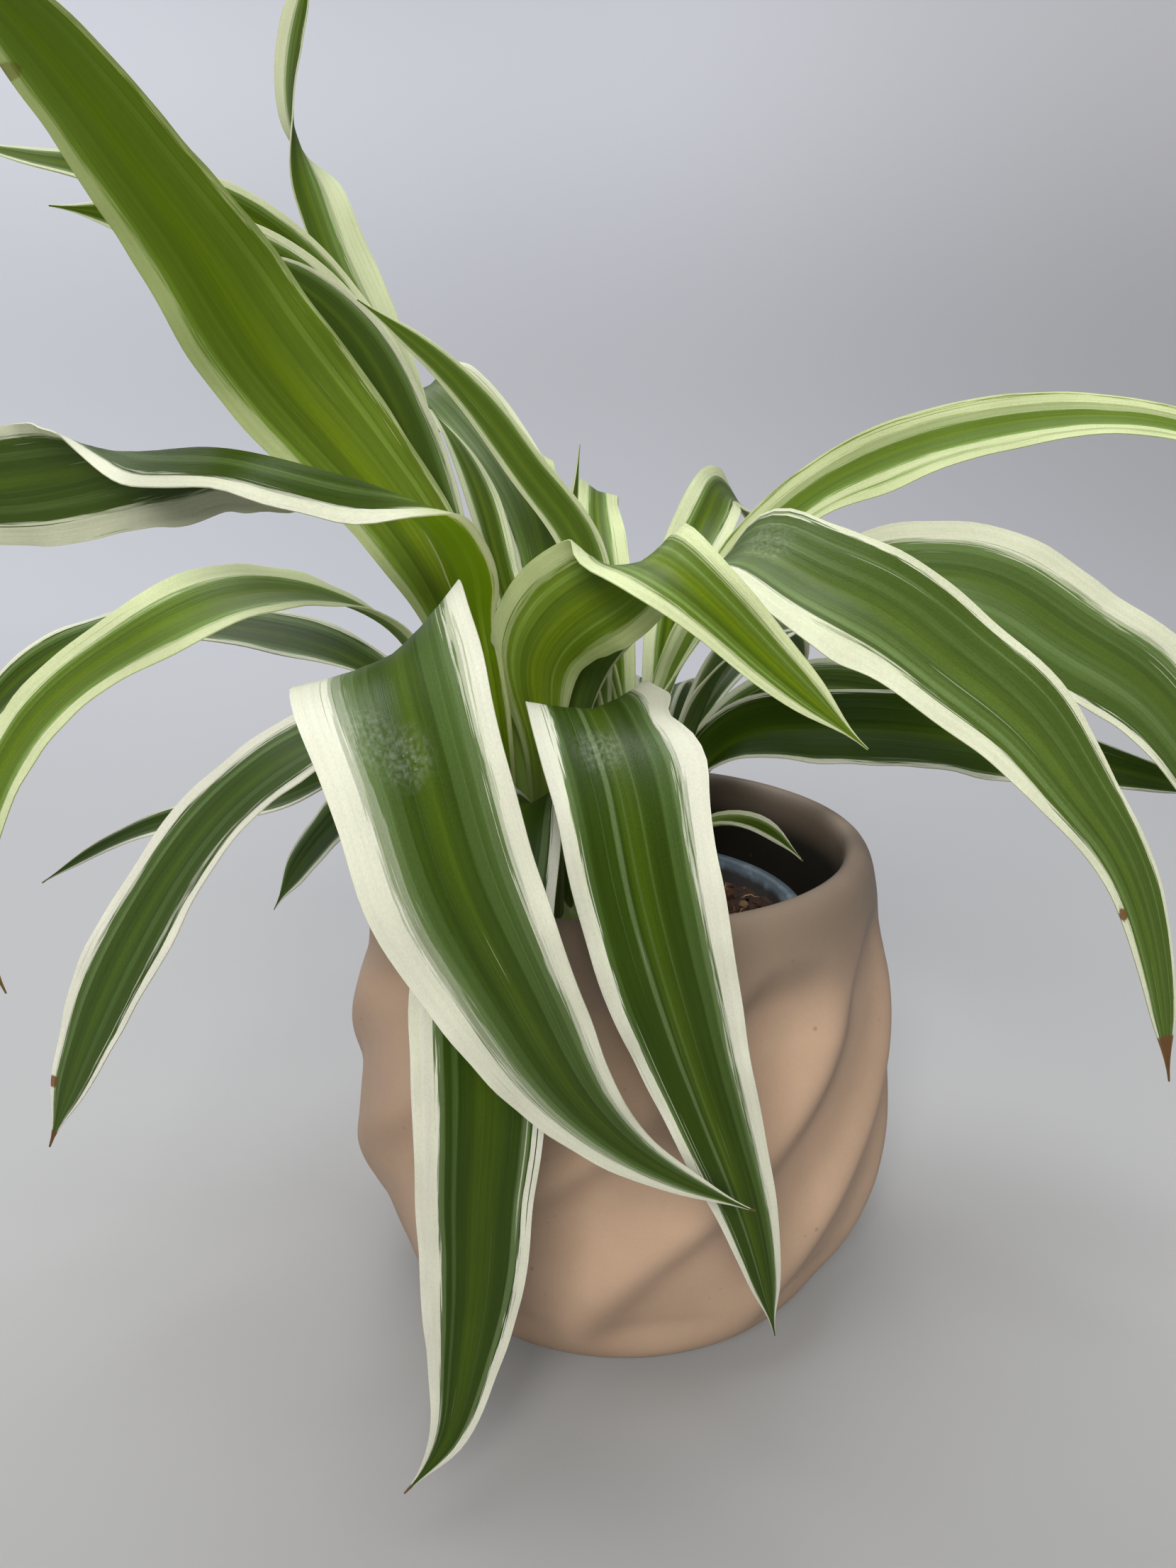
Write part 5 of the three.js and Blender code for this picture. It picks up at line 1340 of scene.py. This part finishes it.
def stageFinish():
    # the floor's grey eases into the wall, which has painted light: it is paler to the left of the camera
    # than to its right and towards the top, and glows a little though it is no lamp. Behind the camera the
    # sheet is painted dark as a dim room, and the floor is painted darker in front of the plant as shade
    make = Finish("studio sheet")
    place = make.place()
    x, y, z = make.parts(place)
    cloud = make.noise(place, 2.2, 2.0)
    # painted light on the wall: paler to the left than to the right, and paler towards the top
    wall = make.mixed(make.rise(x, -1.1, 0.1), studio["wallPaintedLit"], studio["wall"])
    wall = make.mixed(make.rise(x, 0.0, 0.9), wall, studio["wallPaintedDim"])
    wall = make.scaled(wall, 0.52 + make.rise(z, 0.2, 0.9) * 0.34)
    raised = make.rise(y + z * 0.6, -0.2, 1.0)
    tone = make.mixed(raised, studio["floor"], wall)
    # painted shade: the sheet behind the camera is dark, as a dim room
    behind = 1.0 - make.rise(y, -0.75, -0.25)
    tone = make.mixed(behind, tone, studio["room"])
    # painted shade: the floor darkens towards the front
    tone = make.scaled(tone, 0.97 + cloud * 0.06 - make.rise(y * -1.0, 0.0, 0.14) * 0.27)
    # painted light: the wall glows though it is no lamp
    glow = make.scaled(wall, raised * (1.0 - behind))
    skin = make.skin(Base_Color=tone, Roughness=0.62 + cloud * 0.1, Specular_IOR_Level=0.25,
                     Emission_Color=glow, Emission_Strength=studio["wallPaintedGlow"])
    return make.done(skin)


def makeStage():
    # a floor line, a quarter circle and a wall line, turned about the plant
    look = studio
    turn = np.linspace(0.0, math.pi / 2.0, look["bendSteps"])
    radius = look["floorRadius"] + look["bend"] * np.sin(turn)
    height = look["bend"] * (1.0 - np.cos(turn))
    radius = np.concatenate([[0.3, 0.6], radius, radius[-1:]]) / mm
    height = np.concatenate([[0.0, 0.0], height, [look["top"]]]) / mm
    angle = np.linspace(0.0, 2.0 * math.pi, look["columns"], endpoint=False)
    ring = np.stack([np.cos(angle), np.sin(angle), np.ones_like(angle)], -1)
    points = (ring * np.stack([radius, radius, height], -1)[:, None]).reshape(-1, 3)
    quads = ringQuads(len(radius), look["columns"])[:, ::-1]
    middle = poleTriangles(np.arange(look["columns"]), len(points), True)
    mesh = meshOf("studio sheet", np.concatenate([points, [[0.0, 0.0, 0.0]]]), quads, middle)
    mesh.shade_smooth()
    mesh.materials.append(stageFinish())
    sheet = bpy.data.objects.new("studio_sheet", mesh)
    scene.collection.objects.link(sheet)


def makeSky():
    world = bpy.data.worlds.new("pale sky")
    world.use_nodes = True
    light = world.node_tree.nodes["Background"]
    light.inputs["Color"].default_value = studio["sky"] + (1.0,)
    light.inputs["Strength"].default_value = studio["skyStrength"]
    scene.world = world


lamps = {  # where each lamp hangs and what it faces, in metres, its sides, watts and colour
    "window": {"place": (-0.5, 1.0, 1.5), "aim": (0.0, 0.0, 0.12), "sides": (1.1, 0.8), "watts": 10.0,
               "colour": (1.0, 0.99, 0.96)},
    "room": {"place": (-0.1, -0.85, 0.6), "aim": (0.0, 0.0, 0.06), "sides": (0.4, 0.35), "watts": 12.5,
             "colour": (1.0, 0.97, 0.92)},
    "ceiling": {"place": (-0.1, -0.1, 1.3), "aim": (0.0, 0.0, 0.1), "sides": (0.6, 0.6), "watts": 12.0,
                "colour": (0.96, 0.98, 1.0)},
}


def makeLamps():
    for name, look in lamps.items():
        data = bpy.data.lights.new(name, "AREA")
        data.shape = "RECTANGLE"
        data.size, data.size_y = look["sides"]
        data.energy = look["watts"]
        data.color = look["colour"]
        lamp = bpy.data.objects.new(name, data)
        lamp.location = look["place"]
        way = np.array(look["aim"]) - np.array(look["place"])
        flat = math.hypot(way[0], way[1])
        lamp.rotation_euler = (math.atan2(flat, -way[2]), 0.0, math.atan2(-way[0], way[1]))
        lamp.visible_camera = False
        lamp.visible_glossy = name != "room"
        scene.collection.objects.link(lamp)


makeStage()
makeSky()
makeLamps()
print("studio made")
